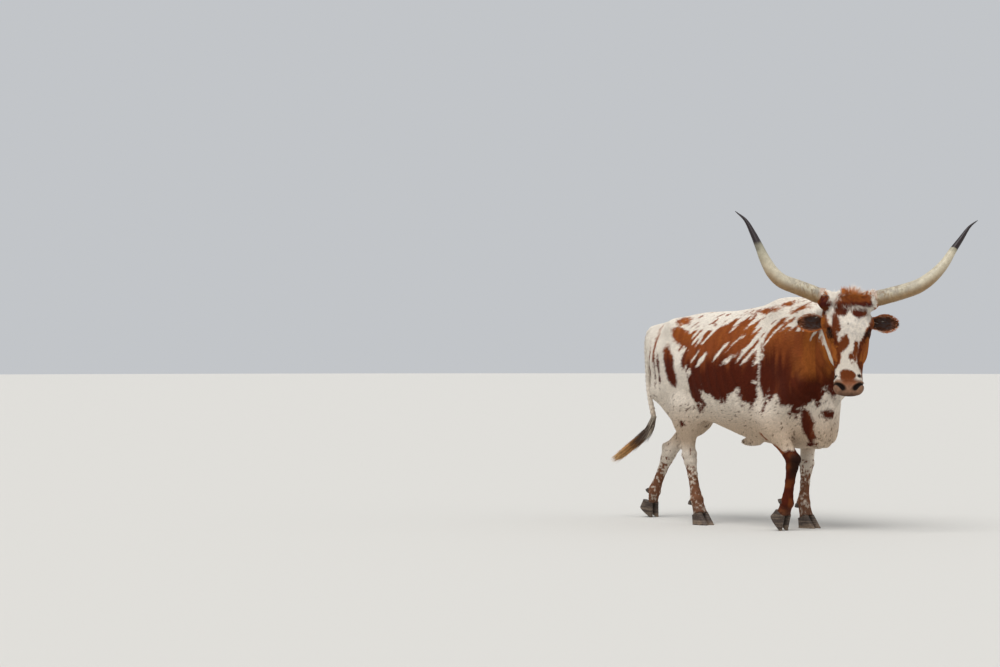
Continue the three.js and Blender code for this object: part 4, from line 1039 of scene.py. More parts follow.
def leg_markings(p, colour, fray):
    """Brown from the right knee down, with a jagged edge. The other legs are specked, more so below."""
    x, y, z = p.T
    lumps = (noise(p, 20.0) - 0.5) * 34 + fray * 0.8
    fore = smooth_step(390, 420, x) * (y < -60) * (z < 520)
    knee = edge(z - 470 - 0.9 * (x - 540) + lumps, 4) * fore
    below = paint(MAROON, smooth_step(0.5, 0.8, noise(p, 30.0)), CHESTNUT * 0.7)
    front = smooth_step(-14, 22, x - table_curve([[150, 485], [290, 528], [420, 560], [520, 530]], z)[0])
    below = paint(below, 0.9 * front * smooth_step(270, 340, z) * smooth_step(480, 440, z), DARK_AND_SHADE)
    stripe = edge(np.abs(z - 553 + 0.46 * (x - 304)) - 22 + lumps * 0.6, 4) * (y < -60)
    colour = paint(colour, stripe * smooth_step(290, 310, x) * smooth_step(570, 550, x), CHESTNUT)
    colour = paint(colour, knee, below)
    others = (1 - knee) * (z < 480)
    amount = 0.76 - 0.42 * smooth_step(480, 190, z)
    specks = noise(p, 11.0) * 0.7 + noise(p, 27.0) * 0.3
    dirt = edge((amount - specks) * 70 + fray * 0.5, 6)
    colour = paint(colour, dirt * others, CHESTNUT * 0.55 + SPECK * 0.3)
    colour = paint(colour, 0.16 * smooth_step(460, 260, z) * others, TAN * 0.7)
    return paint(colour, 0.5 * (1 - smooth_step(90, 170, z)), SPECK)


def face_markings(p, fray):
    """White blaze with grey mottling, brown patches, orange cheeks, pale jaw line, tan muzzle and painted
    shade.
    """
    a, b, c = to_head(p).T
    lumps = noise(p, 19.0) - 0.5
    fine = noise(p, 7.0) - 0.5
    rag = lumps * 13 + fine * 8 + fray * 0.5
    warm = noise(np.stack([a / 60.0, b / 16.0, c / 30.0], 1), 1.0)
    colour = paint(ORANGE * 0.92, 0.75 * smooth_step(0.45, 0.8, warm), CHESTNUT)
    middle = table_curve([[-40, 0], [200, 2], [330, -2], [420, -6], [560, -6]], a)[0]
    width = table_curve(BLAZE, a)[0]
    blaze = np.abs(b - middle) - width + rag
    shade = edge(np.abs(blaze - 13) - 12 + rag, 6) * smooth_step(110, 190, a)
    colour = paint(colour, 0.88 * shade, MAROON)
    pale_line = edge(np.abs(-c - 138 + 0.10 * (a - 150)) - 23 + rag * 0.6, 4) * (b < 0)
    pale_line = pale_line * smooth_step(130, 150, a) * smooth_step(490, 470, a)
    # Painted shade: tan beneath the jaw.
    underside_shade = smooth_step(-190, -230, c + 0.12 * a) * 0.5
    colour = paint(colour, underside_shade, TAN)
    colour = paint(colour, pale_line, CREAM)
    mottle = smooth_step(0.45, 0.75, noise(p, 13.0) * 0.6 + noise(p, 5.0) * 0.4) * smooth_step(300, 220, a)
    white = paint(CREAM, 0.5 * mottle * smooth_step(20, 80, a), [0.40, 0.36, 0.34])
    front = smooth_step(-150, -90, c)
    colour = paint(colour, edge(blaze, 4) * front, white)
    patch = ovals(b, a, FACE_PATCHES, 8) + rag
    dark = (0.45 + 0.5 * smooth_step(0.4, 0.7, warm)) * smooth_step(240, 120, a)
    brown = paint(CHESTNUT * 0.7, dark, MAROON)
    colour = paint(colour, edge(patch, 4) * front, brown)
    colour = paint(colour, edge(ovals(b, a, FACE_SPOTS, 2) + rag * 0.3, 3) * front, DARK_AND_SHADE)
    muzzle = smooth_step(478, 502, a + rag * 0.4 + 0.06 * np.abs(b))
    colour = paint(colour, muzzle, MUZZLE_TAN * (0.8 + 0.4 * noise(p, 12.0))[:, None])
    colour = paint(colour, 0.5 * muzzle * smooth_step(0.6, 0.8, noise(p, 22.0)), SPECK)
    bridge = smooth_step(52, 26, np.abs(b) + lumps * 12)
    bridge = bridge * smooth_step(470, 486, a) * smooth_step(548, 500, a)
    colour = paint(colour, 0.75 * bridge, CHESTNUT * 0.9)
    # Painted shade: dark at the lower end of the muzzle, by the mouth.
    colour = paint(colour, 0.75 * smooth_step(556, 580, a), DARK_AND_SHADE)
    for s in (-1, 1):
        local = nostril_frame(to_head(p), s)
        # Painted shade: the shallow nostrils are painted dark inside, darkest in the middle.
        hole = np.hypot(local[:, 0] / 24, local[:, 1] / 16) + (np.abs(local[:, 2]) > 70) * 9
        colour = paint(colour, 0.6 * smooth_step(1.5, 0.9, hole), DARK_AND_SHADE)
        colour = paint(colour, 0.97 * smooth_step(1.08, 0.78, hole), DARK_AND_SHADE * 0.3)
        lids = np.linalg.norm((to_head(p) - mirrored(EYE, s)) / [40, 34, 34], axis=1)
        colour = paint(colour, 0.85 * smooth_step(1.08, 0.8, lids + lumps * 0.3), DARK_AND_SHADE)
        # Painted shade: dark along the groove of the mouth.
        mouth = tube(mirrored(MOUTH, s), np.full(5, 3.0), 2, to_head(p))
        colour = paint(colour, 0.9 * smooth_step(3.5, 0.0, mouth), DARK_AND_SHADE)
    return colour


def markings(p, fray):
    """The coat's colour at any point of the body: the face's near the head, and the body's elsewhere."""
    colour = leg_markings(p, body_markings(p, fray), fray)
    headness = head_nearby(p)
    near = headness < 40
    if near.any():
        share = smooth_step(34, 16, headness[near] + fray[near] * 0.5)
        front = smooth_step(-60, -20, to_head(p[near])[:, 0])
        colour[near] = paint(colour[near], share * front, face_markings(p[near], fray[near]))
    return colour


def colour_points(mesh, colours, name="coat_colour"):
    """Stores one colour per point in a named attribute, which the materials read."""
    layer = mesh.color_attributes.new(name, "FLOAT_COLOR", "POINT")
    rgba = np.ones((len(colours), 4), dtype=np.float32)
    rgba[:, :3] = colours
    layer.data.foreach_set("color", rgba.ravel())


SKIN_SHADE = 0.86
skin_colours = markings(skin_body, np.zeros(len(skin_body)))
colour_points(skin_mesh, skin_colours * SKIN_SHADE)
print("markings laid on", len(skin_colours), "points", spent(), "s")

# %% [markdown]
# ## Skin and hair finishes
# Short hair looks soft because light catches the top of each hair. The colour comes from the
# attribute, a little noise breaks it up, and fine bump stands for hairs too small to model. No
# hair grows on the muzzle, so there the fine bump of the skin itself shows.

# %% Coat, skin and hair materials


def attribute_finish(name, attribute, roughness, grain, depth, contrast):
    """Colour from an attribute times noise in Object coordinates, and the same noise as bump."""
    made, shader = principled(name, (0.5, 0.4, 0.3), roughness)
    nodes, links = made.node_tree.nodes, made.node_tree.links
    colour = nodes.new("ShaderNodeAttribute")
    colour.attribute_name = attribute
    place = nodes.new("ShaderNodeTexCoord")
    texture = nodes.new("ShaderNodeTexNoise")
    texture.inputs["Scale"].default_value = grain
    texture.inputs["Detail"].default_value = 4.0
    links.new(place.outputs["Object"], texture.inputs["Vector"])
    spread = nodes.new("ShaderNodeMapRange")
    spread.inputs["From Min"].default_value = 0.3
    spread.inputs["From Max"].default_value = 0.7
    spread.inputs["To Min"].default_value = 1.0 - contrast
    spread.inputs["To Max"].default_value = 1.0 + contrast
    links.new(texture.outputs["Fac"], spread.inputs["Value"])
    tint = nodes.new("ShaderNodeVectorMath")
    tint.operation = "SCALE"
    links.new(colour.outputs["Color"], tint.inputs[0])
    links.new(spread.outputs["Result"], tint.inputs["Scale"])
    links.new(tint.outputs["Vector"], shader.inputs["Base Color"])
    bump = nodes.new("ShaderNodeBump")
    bump.inputs["Strength"].default_value = 0.6
    bump.inputs["Distance"].default_value = depth
    links.new(texture.outputs["Fac"], bump.inputs["Height"])
    links.new(bump.outputs["Normal"], shader.inputs["Normal"])
    return made, shader


skin_finish, skin_shader = attribute_finish("short_coat_skin", "coat_colour", 0.62, 260.0, 0.0016, 0.16)
coat_finish, coat_shader = attribute_finish("short_coat_hair", "coat_colour", 0.55, 90.0, 0.0006, 0.10)
hair_finish, hair_shader = attribute_finish("long_hair", "coat_colour", 0.5, 60.0, 0.0006, 0.18)
HAIR_SHEEN = 0.02
HAIR_SHINE = 0.07
for shader in (skin_shader, coat_shader, hair_shader):
    shader.inputs["Sheen Weight"].default_value = HAIR_SHEEN
    shader.inputs["Sheen Roughness"].default_value = 0.5
    shader.inputs["Specular IOR Level"].default_value = HAIR_SHINE
skin_mesh.materials.append(skin_finish)
print("finishes:", skin_finish.name, coat_finish.name, hair_finish.name)

# %% [markdown]
# ## Horns
# A horn is a cone of keratin that grows from a bony core, so it carries rings near its base and a
# polished tip. A circle is carried along the CAD horn's own line, its radius read from the same
# table, with a ripple for the rings. The colour runs from cream, mottled grey, to a black tip, and
# ochre painted shade darkens the side that faces down.

# %% A circle carried along a path
HORN_RIGHT_PATH = [
    [140, -2, -44], [183, 5, -40], [215, 19, -28], [298, 51, 0], [383, 85, 22], [435, 133, 30],
    [481, 211, 26], [513, 283, 12], [549, 360, -8], [593, 438, -30], [652, 490, -44],
]
HORN_LEFT_PATH = [
    [130, -18, -44], [170, -13, -40], [200, -6, -28], [303, 22, 2], [395, 55, 24], [473, 110, 32],
    [537, 179, 26], [587, 257, 10], [632, 321, -10], [684, 394, -32], [729, 430, -44],
]
HORN_RADIUS = [[0, 46], [0.3, 42], [0.45, 37], [0.64, 25], [0.85, 13], [1, 1.8]]
HORN_SIDES = 48
HORN_ROWS = 260
RING_SPACING = 13.0


def grid_faces(rows, sides):
    """Squares between neighbouring rings, and a fan at each end to close it. Rings come first."""
    row, side = np.meshgrid(np.arange(rows - 1), np.arange(sides), indexing="ij")
    after = (side + 1) % sides
    a, b = row * sides + side, row * sides + after
    squares = np.stack([a, b, b + sides, a + sides], -1).reshape(-1, 4)
    side = np.arange(sides)
    after = (side + 1) % sides
    start = np.stack([np.full(sides, rows * sides), after, side], 1)
    top = (rows - 1) * sides
    end = np.stack([np.full(sides, rows * sides + 1), top + side, top + after], 1)
    return squares.tolist() + start.tolist() + end.tolist()


def ring_frames(line):
    """For each point of a line: its direction, and two directions across it that don't twist."""
    way = unit(np.gradient(line, axis=0))
    first = unit(np.cross(way[0], [0.3, 0.2, 1.0]))
    across = [first]
    for w in way[1:]:
        last = across[-1]
        across.append(unit(last - w * np.dot(last, w)))
    across = np.array(across)
    return way, across, np.cross(way, across)


def smooth_piece(name, points, faces):
    """An object of smoothly shaded faces through points given in body millimetres."""
    mesh = bpy.data.meshes.new(name)
    mesh.from_pydata(room(points).tolist(), [], faces)
    mesh.polygons.foreach_set("use_smooth", np.ones(len(mesh.polygons), dtype=bool))
    mesh.update()
    return new_object(name, mesh)


def capped(rings):
    """The points of all rings in one list, then the middle of the first ring and of the last."""
    rings = np.asarray(rings)
    return np.vstack([rings.reshape(-1, 3), rings[:1].mean(1), rings[-1:].mean(1)])


def swept(name, line, radius, sides):
    """A closed tube: each ring is the line's point plus radius times the cosine and sine of a turn."""
    way, u, v = ring_frames(line)
    turn = np.linspace(0, 2 * math.pi, sides, endpoint=False)
    radius = np.broadcast_to(radius, (len(line), sides))[..., None]
    ring = u[:, None] * np.cos(turn)[None, :, None] + v[:, None] * np.sin(turn)[None, :, None]
    points = np.vstack([(line[:, None] + radius * ring).reshape(-1, 3), line[:1], line[-1:]])
    return smooth_piece(name, points, grid_faces(len(line), sides)), points


HORN_CREAM = np.array([0.52, 0.46, 0.34])
HORN_OCHRE = np.array([0.27, 0.155, 0.06])
HORN_GREY = np.array([0.27, 0.235, 0.19])
HORN_DARK = np.array([0.022, 0.014, 0.015])
HORN_GREEN = np.array([0.20, 0.19, 0.13])
HORN_PINK = np.array([0.50, 0.34, 0.27])


def horn_colours(share, points, dark_from, blend, greenish):
    """Cream, mottled, ochre scars near the base, green-grey before the dark tip, and a pinkish rough base.
    """
    fine = noise(points, 9.0)
    broad = noise(points, 34.0)
    colour = HORN_CREAM * (0.86 + 0.28 * fine)[:, None]
    mottle = smooth_step(0.40, 0.62, broad * 0.5 + fine * 0.5) * smooth_step(0.6, 0.1, share)
    colour = paint(colour, 0.8 * mottle, HORN_GREY)
    scars = smooth_step(0.60, 0.72, noise(points * [1, 1, 0.5] + 60.0, 7.0))
    scars = scars * smooth_step(0.42, 0.08, share)
    colour = paint(colour, 0.6 * scars, HORN_OCHRE * 0.7)
    colour = paint(colour, 0.7 * smooth_step(dark_from - greenish, dark_from, share), HORN_GREEN)
    tip = smooth_step(dark_from - blend, dark_from + blend, share + 0.05 * (broad - 0.5))
    colour = paint(colour, tip, HORN_DARK)
    return paint(colour, 0.7 * smooth_step(0.075, 0.03, share + 0.03 * (fine - 0.5)), HORN_PINK)


horn_finish, horn_shader = attribute_finish("horn", "horn_colour", 0.38, 40.0, 0.0008, 0.12)
horn_shader.inputs["Specular IOR Level"].default_value = 0.28
horn_ahead = np.array([math.cos(yaw), math.sin(yaw), 0.0])
for name, path, s, dark_from, blend, greenish in (
    ("horn_right", HORN_RIGHT_PATH, -1, 0.665, 0.04, 0.2),
    ("horn_left", HORN_LEFT_PATH, 1, 0.735, 0.006, 0.06),
):
    table = np.array(path, dtype=float)
    sideways = POLL + LEVEL_LEFT * (table[:, :1] * s)
    stations = sideways + horn_ahead * table[:, 2:] + [0, 0, 1] * table[:, 1:2]
    line = smooth_path(stations, HORN_ROWS)
    share = np.linspace(0, 1, HORN_ROWS)
    length = float(np.linalg.norm(np.diff(line, axis=0), axis=1).sum())
    turn = np.linspace(0, 2 * math.pi, HORN_SIDES, endpoint=False)
    rough = noise(np.stack([share * length / 7.0, share * 0, share * 0], 1), 1.0)[:, None]
    rings = np.sin(share * length * 2 * math.pi / RING_SPACING)[:, None] * 0.5
    ripple = (rings + rough - 0.5) * np.exp(-share * 5.0)[:, None]
    flutes = 0.25 * np.sin(9 * turn + 3 * share[:, None]) * np.exp(-share * 3.0)[:, None]
    radius = table_curve(HORN_RADIUS, share)[0][:, None] + 1.3 * ripple + flutes
    piece, points = swept(name + "_grown", line, np.maximum(radius, 1.2), HORN_SIDES)
    full_share = np.concatenate([np.repeat(share, HORN_SIDES), [0, 1]])
    outward = points[:-2] - np.repeat(line, HORN_SIDES, axis=0)
    lean = np.concatenate([outward[:, 2] / np.linalg.norm(outward, axis=1), [0, 0]])
    base = horn_colours(full_share, points, dark_from, blend, greenish)
    # Painted shade: ochre where the horn's surface faces down, fading out before the dark tip.
    below = 0.9 * smooth_step(0.25, -0.7, lean) * smooth_step(dark_from, 0.4, full_share)
    colour_points(piece.data, paint(base, below, HORN_OCHRE), "horn_colour")
    piece.data.materials.append(horn_finish)
    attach(piece, "root")
    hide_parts(name)
    print(piece.name, round(length), "mm along its curve")

# %% [markdown]
# ## Ears
# A cow's ear is a leaf rolled into a cup. The leaf is a grid: one parameter runs from root to tip,
# the other round the edge, front and back. The inside is almost black with long hairs, and the rim
# is red-brown.

# %% Ear cups
EAR_ROOT = [136, 104, -92]
EAR_LENGTH = 188.0
EAR_ALONG = [-0.03, 0.98, -0.14]
EAR_FACING = [0.1, 0.12, 0.98]
EAR_LEAF = [[0, 26, 20], [0.25, 36, 26], [0.5, 52, 28], [0.75, 43, 18], [0.9, 25, 8], [1, 6, 2]]
EAR_ROWS = 60
EAR_COLUMNS = 40
ear_finish = attribute_finish("ear_skin", "coat_colour", 0.6, 180.0, 0.0012, 0.2)[0]
EAR_INSIDE = np.array([0.022, 0.006, 0.003])
EAR_RIM = np.array([0.30, 0.085, 0.020])


def ear_frame(s):
    """The ear's root, and its directions along, open and wide, in the head's frame."""
    along = unit(mirrored(EAR_ALONG, s))
    facing = mirrored(EAR_FACING, s)
    open_way = unit(facing - along * np.dot(facing, along))
    return mirrored(EAR_ROOT, s), along, open_way, np.cross(along, open_way)


def ear_point(s, t, x, lift):
    """A point of the leaf: t along it, x across it from -1 to 1, raised by lift from the cup's floor,
    which sinks by the cup's depth times 1 - x²."""
    root, along, open_way, wide = ear_frame(s)
    half, cup = table_curve(EAR_LEAF, t)
    filled = np.maximum(0, 1 - t * 5) * (lift > 0)
    wave = 2.0 * np.sin(9 * t) * x
    z = -cup * (1 - x**2) * (1 - filled) + lift + wave
    flat = root + along * (EAR_LENGTH * t)[..., None] + wide * (half * x)[..., None]
    return flat + open_way * z[..., None]


for s, name in ((1, "ear_left"), (-1, "ear_right")):
    t = np.linspace(0, 1, EAR_ROWS)[:, None]
    turn = np.linspace(0, 2 * math.pi, EAR_COLUMNS, endpoint=False)[None, :]
    x = np.cos(turn) + 0 * t
    thick = 4.5 * (1 - 0.55 * t) * np.sin(turn)
    points = from_head(capped(ear_point(s, t + 0 * turn, x, thick)))
    faces = [f[::-1] for f in grid_faces(EAR_ROWS, EAR_COLUMNS)]
    cup = smooth_piece(name + "_cup", points, faces)
    front = np.concatenate([(np.sin(turn) + 0 * t > -0.05).ravel(), [False, False]])
    rim = np.concatenate([np.abs(x).ravel(), [1, 1]])
    reach = np.concatenate([(t + 0 * turn).ravel(), [0, 1]])
    colours = EAR_RIM * (0.8 + 0.4 * noise(points, 14.0))[:, None]
    dark = front * smooth_step(0.96, 0.62, rim + 0.2 * (noise(points, 9.0) - 0.5))
    colours = paint(colours, dark * smooth_step(1.0, 0.7, reach), EAR_INSIDE)
    pale = 0.7 * smooth_step(0.85, 1.0, rim) * smooth_step(0.5, 0.7, noise(points, 18.0))
    colour_points(cup.data, paint(colours, pale, CREAM))
    cup.data.materials.append(ear_finish)
    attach(cup, "root")
    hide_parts(name)
print("ears made")

# %% [markdown]
# ## Eyes
# The ball is a sphere whose pole points the way the eye looks. Cattle have a dark brown iris, a
# wide pupil that lies level, and a thin pale rim that rarely shows. The ball is wet, so it is very
# smooth, but its shine is kept low, because the lamps here are wide and would whiten it.

# %% Eyeballs
EYE_SIDES = 64
EYE_ROWS = 40
EYE_GAP = 0.3
eye_finish, eye_shader = attribute_finish("wet_eye", "eye_colour", 0.08, 60.0, 0.0001, 0.1)
eye_shader.inputs["Specular IOR Level"].default_value = 0.22
IRIS = np.array([0.045, 0.018, 0.008])
PUPIL = np.array([0.002, 0.002, 0.002])
EYE_WHITE = np.array([0.16, 0.10, 0.08])
for s, name in ((1, "eye_left"), (-1, "eye_right")):
    middle, look, corner, high = eye_frame(s)
    polar = np.linspace(0.02, math.pi - 0.02, EYE_ROWS)[:, None]
    turn = np.linspace(0, 2 * math.pi, EYE_SIDES, endpoint=False)[None, :]
    bulge = 1 + 0.06 * np.exp(-((polar / 0.45) ** 2))
    wide = np.sin(polar) * np.cos(turn)
    tall = np.sin(polar) * np.sin(turn)
    deep = np.cos(polar) * bulge + 0 * turn
    unit_points = corner * wide[..., None] + high * tall[..., None] + look * deep[..., None]
    points = from_head(capped(middle + (EYE_RADIUS - EYE_GAP) * unit_points))
    faces = grid_faces(EYE_ROWS, EYE_SIDES)
    ball = smooth_piece(name + "_ball", points, faces if s > 0 else [f[::-1] for f in faces])
    pupil = np.hypot(wide / 0.42, tall / 0.24)
    iris = np.hypot(wide, tall) / 0.72
    places = np.stack([turn + 0 * polar, polar * 3 + 0 * turn, 0 * wide], -1).reshape(-1, 3)
    fibres = 0.7 + 0.6 * noise(places, 0.12)
    colours = paint(IRIS * fibres[:, None], smooth_step(1.1, 0.9, pupil.ravel()), PUPIL)
    colours = paint(colours, smooth_step(0.95, 1.1, iris.ravel()), EYE_WHITE)
    colour_points(ball.data, np.vstack([colours, colours[:1], colours[-1:]]), "eye_colour")
    ball.data.materials.append(eye_finish)
    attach(ball, "root")
    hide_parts(name)
print("eyes made")

# %% [markdown]
# ## Hooves
# A cloven hoof is two claws of dull dark horn with faint rings. Each claw is a stack of rounded
# outlines from the sole to the coronet, and each outline is a loop of one angle. On the feet that
# are pushing off, the toe is worn flat where it meets the floor.

# %% Claws and dewclaws
CLAW_WIDTH = 48.0
CLAW_HEEL = 54.0
CLAW_GAP = 2.5
CLAW_ROWS = 30
CLAW_SIDES = 48
DEWCLAW_ROWS = 24
DEWCLAW_RADIUS = [[0, 17], [0.6, 16], [1, 5]]
hoof_finish, hoof_shader = attribute_finish("hoof_horn", "hoof_colour", 0.5, 110.0, 0.0012, 0.3)
hoof_shader.inputs["Specular IOR Level"].default_value = 0.25
HOOF_DARK = np.array([0.052, 0.036, 0.028])
HOOF_PALE = np.array([0.15, 0.11, 0.08])


def claw_outline(turn):
    """How far from toe to heel (0 to 1) and how wide (-1 to 1) one loop of a claw is at each angle."""
    share = 0.5 - 0.5 * np.cos(turn)
    bow = np.abs(np.sin(turn)) ** 0.72
    wide = np.sign(np.sin(turn)) * bow * (0.80 + 0.26 * share)
    return share, wide


for leg in LEGS:
    origin, ahead, up, coronet, band = foot_of(leg)
    for lateral, side_name in ((leg["side"], "outer"), (-leg["side"], "inner")):
        turn = np.linspace(0, 2 * math.pi, CLAW_SIDES, endpoint=False)
        share, wide = claw_outline(turn)

        def ring_at(rise):
            """One loop at a height, given as a share of the coronet's: the toe leans back as it rises."""
            toe = CLAW_TOE - 50 * rise
            heel = -CLAW_HEEL - 4 * rise
            half = CLAW_WIDTH / 2 * (1 - 0.08 * rise)
            along = toe + (heel - toe) * share
            level = lateral * (CLAW_WIDTH / 2 + CLAW_GAP) + half * wide
            middle = origin + ahead * along[:, None] + up * (CORONET_HEIGHT * rise)[:, None]
            return middle + SIDEWAYS * level[:, None]

        low = (ring_at(np.zeros(CLAW_SIDES)) - coronet) @ band
        high = (ring_at(np.ones(CLAW_SIDES)) - coronet) @ band
        top = low / (low - high) - 0.004
        shell = []
        for t in np.linspace(0, 1, CLAW_ROWS):
            ring = ring_at(top * t)
            swell = 0.5 * math.sin(t * 30) * (1 - t) + 1.2 * t**6
            centre = ring.mean(0)
            shell.append(ring + unit(ring - centre) * (swell - 0.6 * (t < 0.03)))
        points = capped(shell)
        points[:, 2] = np.maximum(points[:, 2], 0.0)
        name = "claw_" + leg["name"] + "_" + side_name
        claw = smooth_piece(name + "_horn", points, grid_faces(CLAW_ROWS, CLAW_SIDES))
        rings = noise(np.stack([points[:, 2] / 4.0, points[:, 0] / 90.0, points[:, 1] / 90.0], 1), 1.0)
        colours = paint(HOOF_DARK, smooth_step(0.4, 0.85, rings), HOOF_PALE)
        dust = smooth_step(40, 0, points[:, 2]) * smooth_step(0.3, 0.7, noise(points, 16.0))
        colour_points(claw.data, paint(colours, 0.4 * dust, TAN * 0.6), "hoof_colour")
        claw.data.materials.append(hoof_finish)
        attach(claw, "root")
        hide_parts(name)
    for lateral in (-1, 1):
        start = np.array(leg["fetlock"], dtype=float) + [0, lateral * 22, -4]
        tip = start - 50 * ahead - 25 * up
        line = np.linspace(start, tip, DEWCLAW_ROWS)
        radius = table_curve(DEWCLAW_RADIUS, np.linspace(0, 1, DEWCLAW_ROWS))[0]
        radius = radius * np.sqrt(1 - np.linspace(0, 0.97, DEWCLAW_ROWS) ** 6)
        place = "left" if lateral > 0 else "right"
        dewclaw, points = swept("dewclaw_" + leg["name"] + "_" + place, line, radius[:, None], 24)
        colours = paint(HOOF_DARK, smooth_step(0.5, 0.9, noise(points, 8.0)), HOOF_PALE)
        colour_points(dewclaw.data, colours, "hoof_colour")
        dewclaw.data.materials.append(hoof_finish)
        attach(dewclaw, "root")
print("hooves made", spent(), "s")

# %% [markdown]
# ## Long locks of hair
# The shaggy poll, the switch of the tail, the ear hairs and the lashes are long enough to see one
# by one. Each lock is a thin three-sided blade that bends from the way it grows to the way it
# falls and tapers to a point. All locks of a piece are worked out together as one array.

# %% Blades of hair
LOCK_RINGS = 5
PATCH = 0.003


def hair_piece(name, points, faces, tints, uv, normals):
    """One mesh from arrays of points and triangles, with its colours, OFBake map and soft normals."""
    mesh = bpy.data.meshes.new(name)
    mesh.vertices.add(len(points))
    mesh.vertices.foreach_set("co", room(points).astype(np.float32).ravel())
    mesh.loops.add(faces.size)
    mesh.loops.foreach_set("vertex_index", faces.astype(np.int32).ravel())
    mesh.polygons.add(len(faces))
    mesh.polygons.foreach_set("loop_start", np.arange(0, faces.size, 3, dtype=np.int32))
    mesh.polygons.foreach_set("use_smooth", np.ones(len(faces), dtype=bool))
    layer = mesh.uv_layers.new(name="OFBake")
    layer.uv.foreach_set("vector", uv[faces.ravel()].astype(np.float32).ravel())
    mesh.update()
    mesh.validate()
    colour_points(mesh, tints)
    mesh.normals_split_custom_set_from_vertices(normals.astype(np.float32).tolist())
    return new_object(name, mesh)


def locks(name, roots, grow, fall, face, length, width, colours, unwrap, lift=0.85):
    """Rings of three points along each lock: the way turns from `grow` to `fall` in even steps, and
    the width shrinks as 1 - t^1.6. Root and tip share the lock's own patch of the unwrap."""
    count = len(roots)
    grow, fall, face = unit(grow), unit(fall), unit(face)
    spot = roots.copy()
    rings = []
    for k in range(LOCK_RINGS):
        t = k / LOCK_RINGS
        way = unit(grow * (1 - lift * t) + fall * lift * t)
        if k:
            spot = spot + way * (length / LOCK_RINGS)[:, None]
        across = unit(np.cross(face, way))
        normal = np.cross(way, across)
        half = (width / 2 * (1 - t**1.6))[:, None]
        rings += [spot + across * half, spot + normal * half * 0.6, spot - across * half]
    tip = spot + way * (length / LOCK_RINGS)[:, None]
    points = np.stack(rings + [tip], 1).reshape(-1, 3)
    faces = []
    for k in range(LOCK_RINGS - 1):
        a = 3 * k
        for i in range(3):
            j = (i + 1) % 3
            faces += [[a + i, a + j, a + i + 3], [a + j, a + j + 3, a + i + 3]]
    last = 3 * (LOCK_RINGS - 1)
    faces += [[last + i, last + (i + 1) % 3, 3 * LOCK_RINGS] for i in range(3)] + [[0, 2, 1]]
    faces = np.array(faces)
    per = 3 * LOCK_RINGS + 1
    all_faces = (faces[None] + (np.arange(count) * per)[:, None, None]).reshape(-1, 3)
    shade = np.linspace(0.8, 1.1, LOCK_RINGS + 1)
    shade = np.concatenate([np.repeat(shade[:-1], 3), shade[-1:]])
    patch_u = np.concatenate([np.tile([-0.5, 0.0, 0.5], LOCK_RINGS), [0.0]]) * PATCH
    patch_v = np.concatenate([np.repeat(np.linspace(0, 0.8, LOCK_RINGS), 3), [1.0]]) * PATCH
    uv = np.stack([unwrap[:, :1] + patch_u, unwrap[:, 1:2] + patch_v], -1).reshape(-1, 2)
    tints = (colours[:, None] * shade[None, :, None]).reshape(-1, 3)
    soft = [face + across * 0.55, face, face - across * 0.55] * LOCK_RINGS + [face]
    soft = unit(np.stack(soft, 1).reshape(-1, 3) + np.repeat(way, per, axis=0) * 0.15)
    return hair_piece(name, points, all_faces, tints, uv, soft)


def unroll(u, v, low_u, high_u, low_v, high_v):
    """Two numbers that follow the skin's own shape, scaled to fill the map with a small margin."""
    return np.stack([
        np.clip(0.02 + 0.95 * (u - low_u) / (high_u - low_u), 0.01, 0.985),
        np.clip(0.02 + 0.95 * (v - low_v) / (high_v - low_v), 0.01, 0.985),
    ], 1)


# %% Switch of the tail
SWITCH_HAIRS = 1900
SWITCH_ROWS = 80
SWITCH_AHEAD = 22
SWITCH_RADIUS = [[0, 15], [0.25, 20], [0.6, 20], [0.85, 12], [1, 5]]
SWITCH_COLOURS = [
    [0, 0.50, 0.43, 0.34], [0.08, 0.17, 0.13, 0.10], [0.22, 0.07, 0.045, 0.033], [0.36, 0.15, 0.07, 0.03],
    [0.48, 0.42, 0.20, 0.07], [0.65, 0.55, 0.31, 0.13], [1, 0.58, 0.35, 0.16],
]
CORE_RADIUS = [[0, 17.5], [0.25, 16], [0.6, 12], [0.85, 6], [1, 2]]
CORE_SIDES = 24
draw = np.random.default_rng(21)
switch_line = smooth_path(SWITCH_PATH, SWITCH_ROWS)
switch_way = unit(np.gradient(switch_line, axis=0))
t = draw.random(SWITCH_HAIRS) ** 1.1 * 0.80
index = (t * (SWITCH_ROWS - 1)).astype(int)
later = np.minimum(index + SWITCH_AHEAD, SWITCH_ROWS - 1)
turn = draw.random(SWITCH_HAIRS) * 2 * math.pi
way, u, v = ring_frames(switch_line)
out = u[index] * np.cos(turn)[:, None] + v[index] * np.sin(turn)[:, None]
radius = table_curve(SWITCH_RADIUS, t)[0] * np.sqrt(draw.random(SWITCH_HAIRS))
roots = switch_line[index] + out * radius[:, None]
length = draw.uniform(95, 165, SWITCH_HAIRS) * (1 - 0.25 * t)
grow = switch_way[index] + out * 0.16 + draw.normal(0, 0.05, (SWITCH_HAIRS, 3))
fall = switch_way[later] - out * 0.07 + draw.normal(0, 0.07, (SWITCH_HAIRS, 3))
shift = np.clip(t + draw.normal(0, 0.05, SWITCH_HAIRS), 0, 1)
tints = np.stack(table_curve(SWITCH_COLOURS, shift), 1) * draw.uniform(0.65, 1.35, SWITCH_HAIRS)[:, None]
unwrap = unroll(turn, t, 0, 2 * math.pi, 0, 0.85)
switch = locks("switch_hair", roots, grow, fall, out, length, draw.uniform(2.5, 6, SWITCH_HAIRS),
               np.clip(tints, 0.01, 0.9), unwrap)
core_share = np.linspace(0, 1, SWITCH_ROWS)
core_radius = table_curve(CORE_RADIUS, core_share)[0]
core = swept("switch_core", switch_line - switch_way * 3, core_radius[:, None], CORE_SIDES)[0]
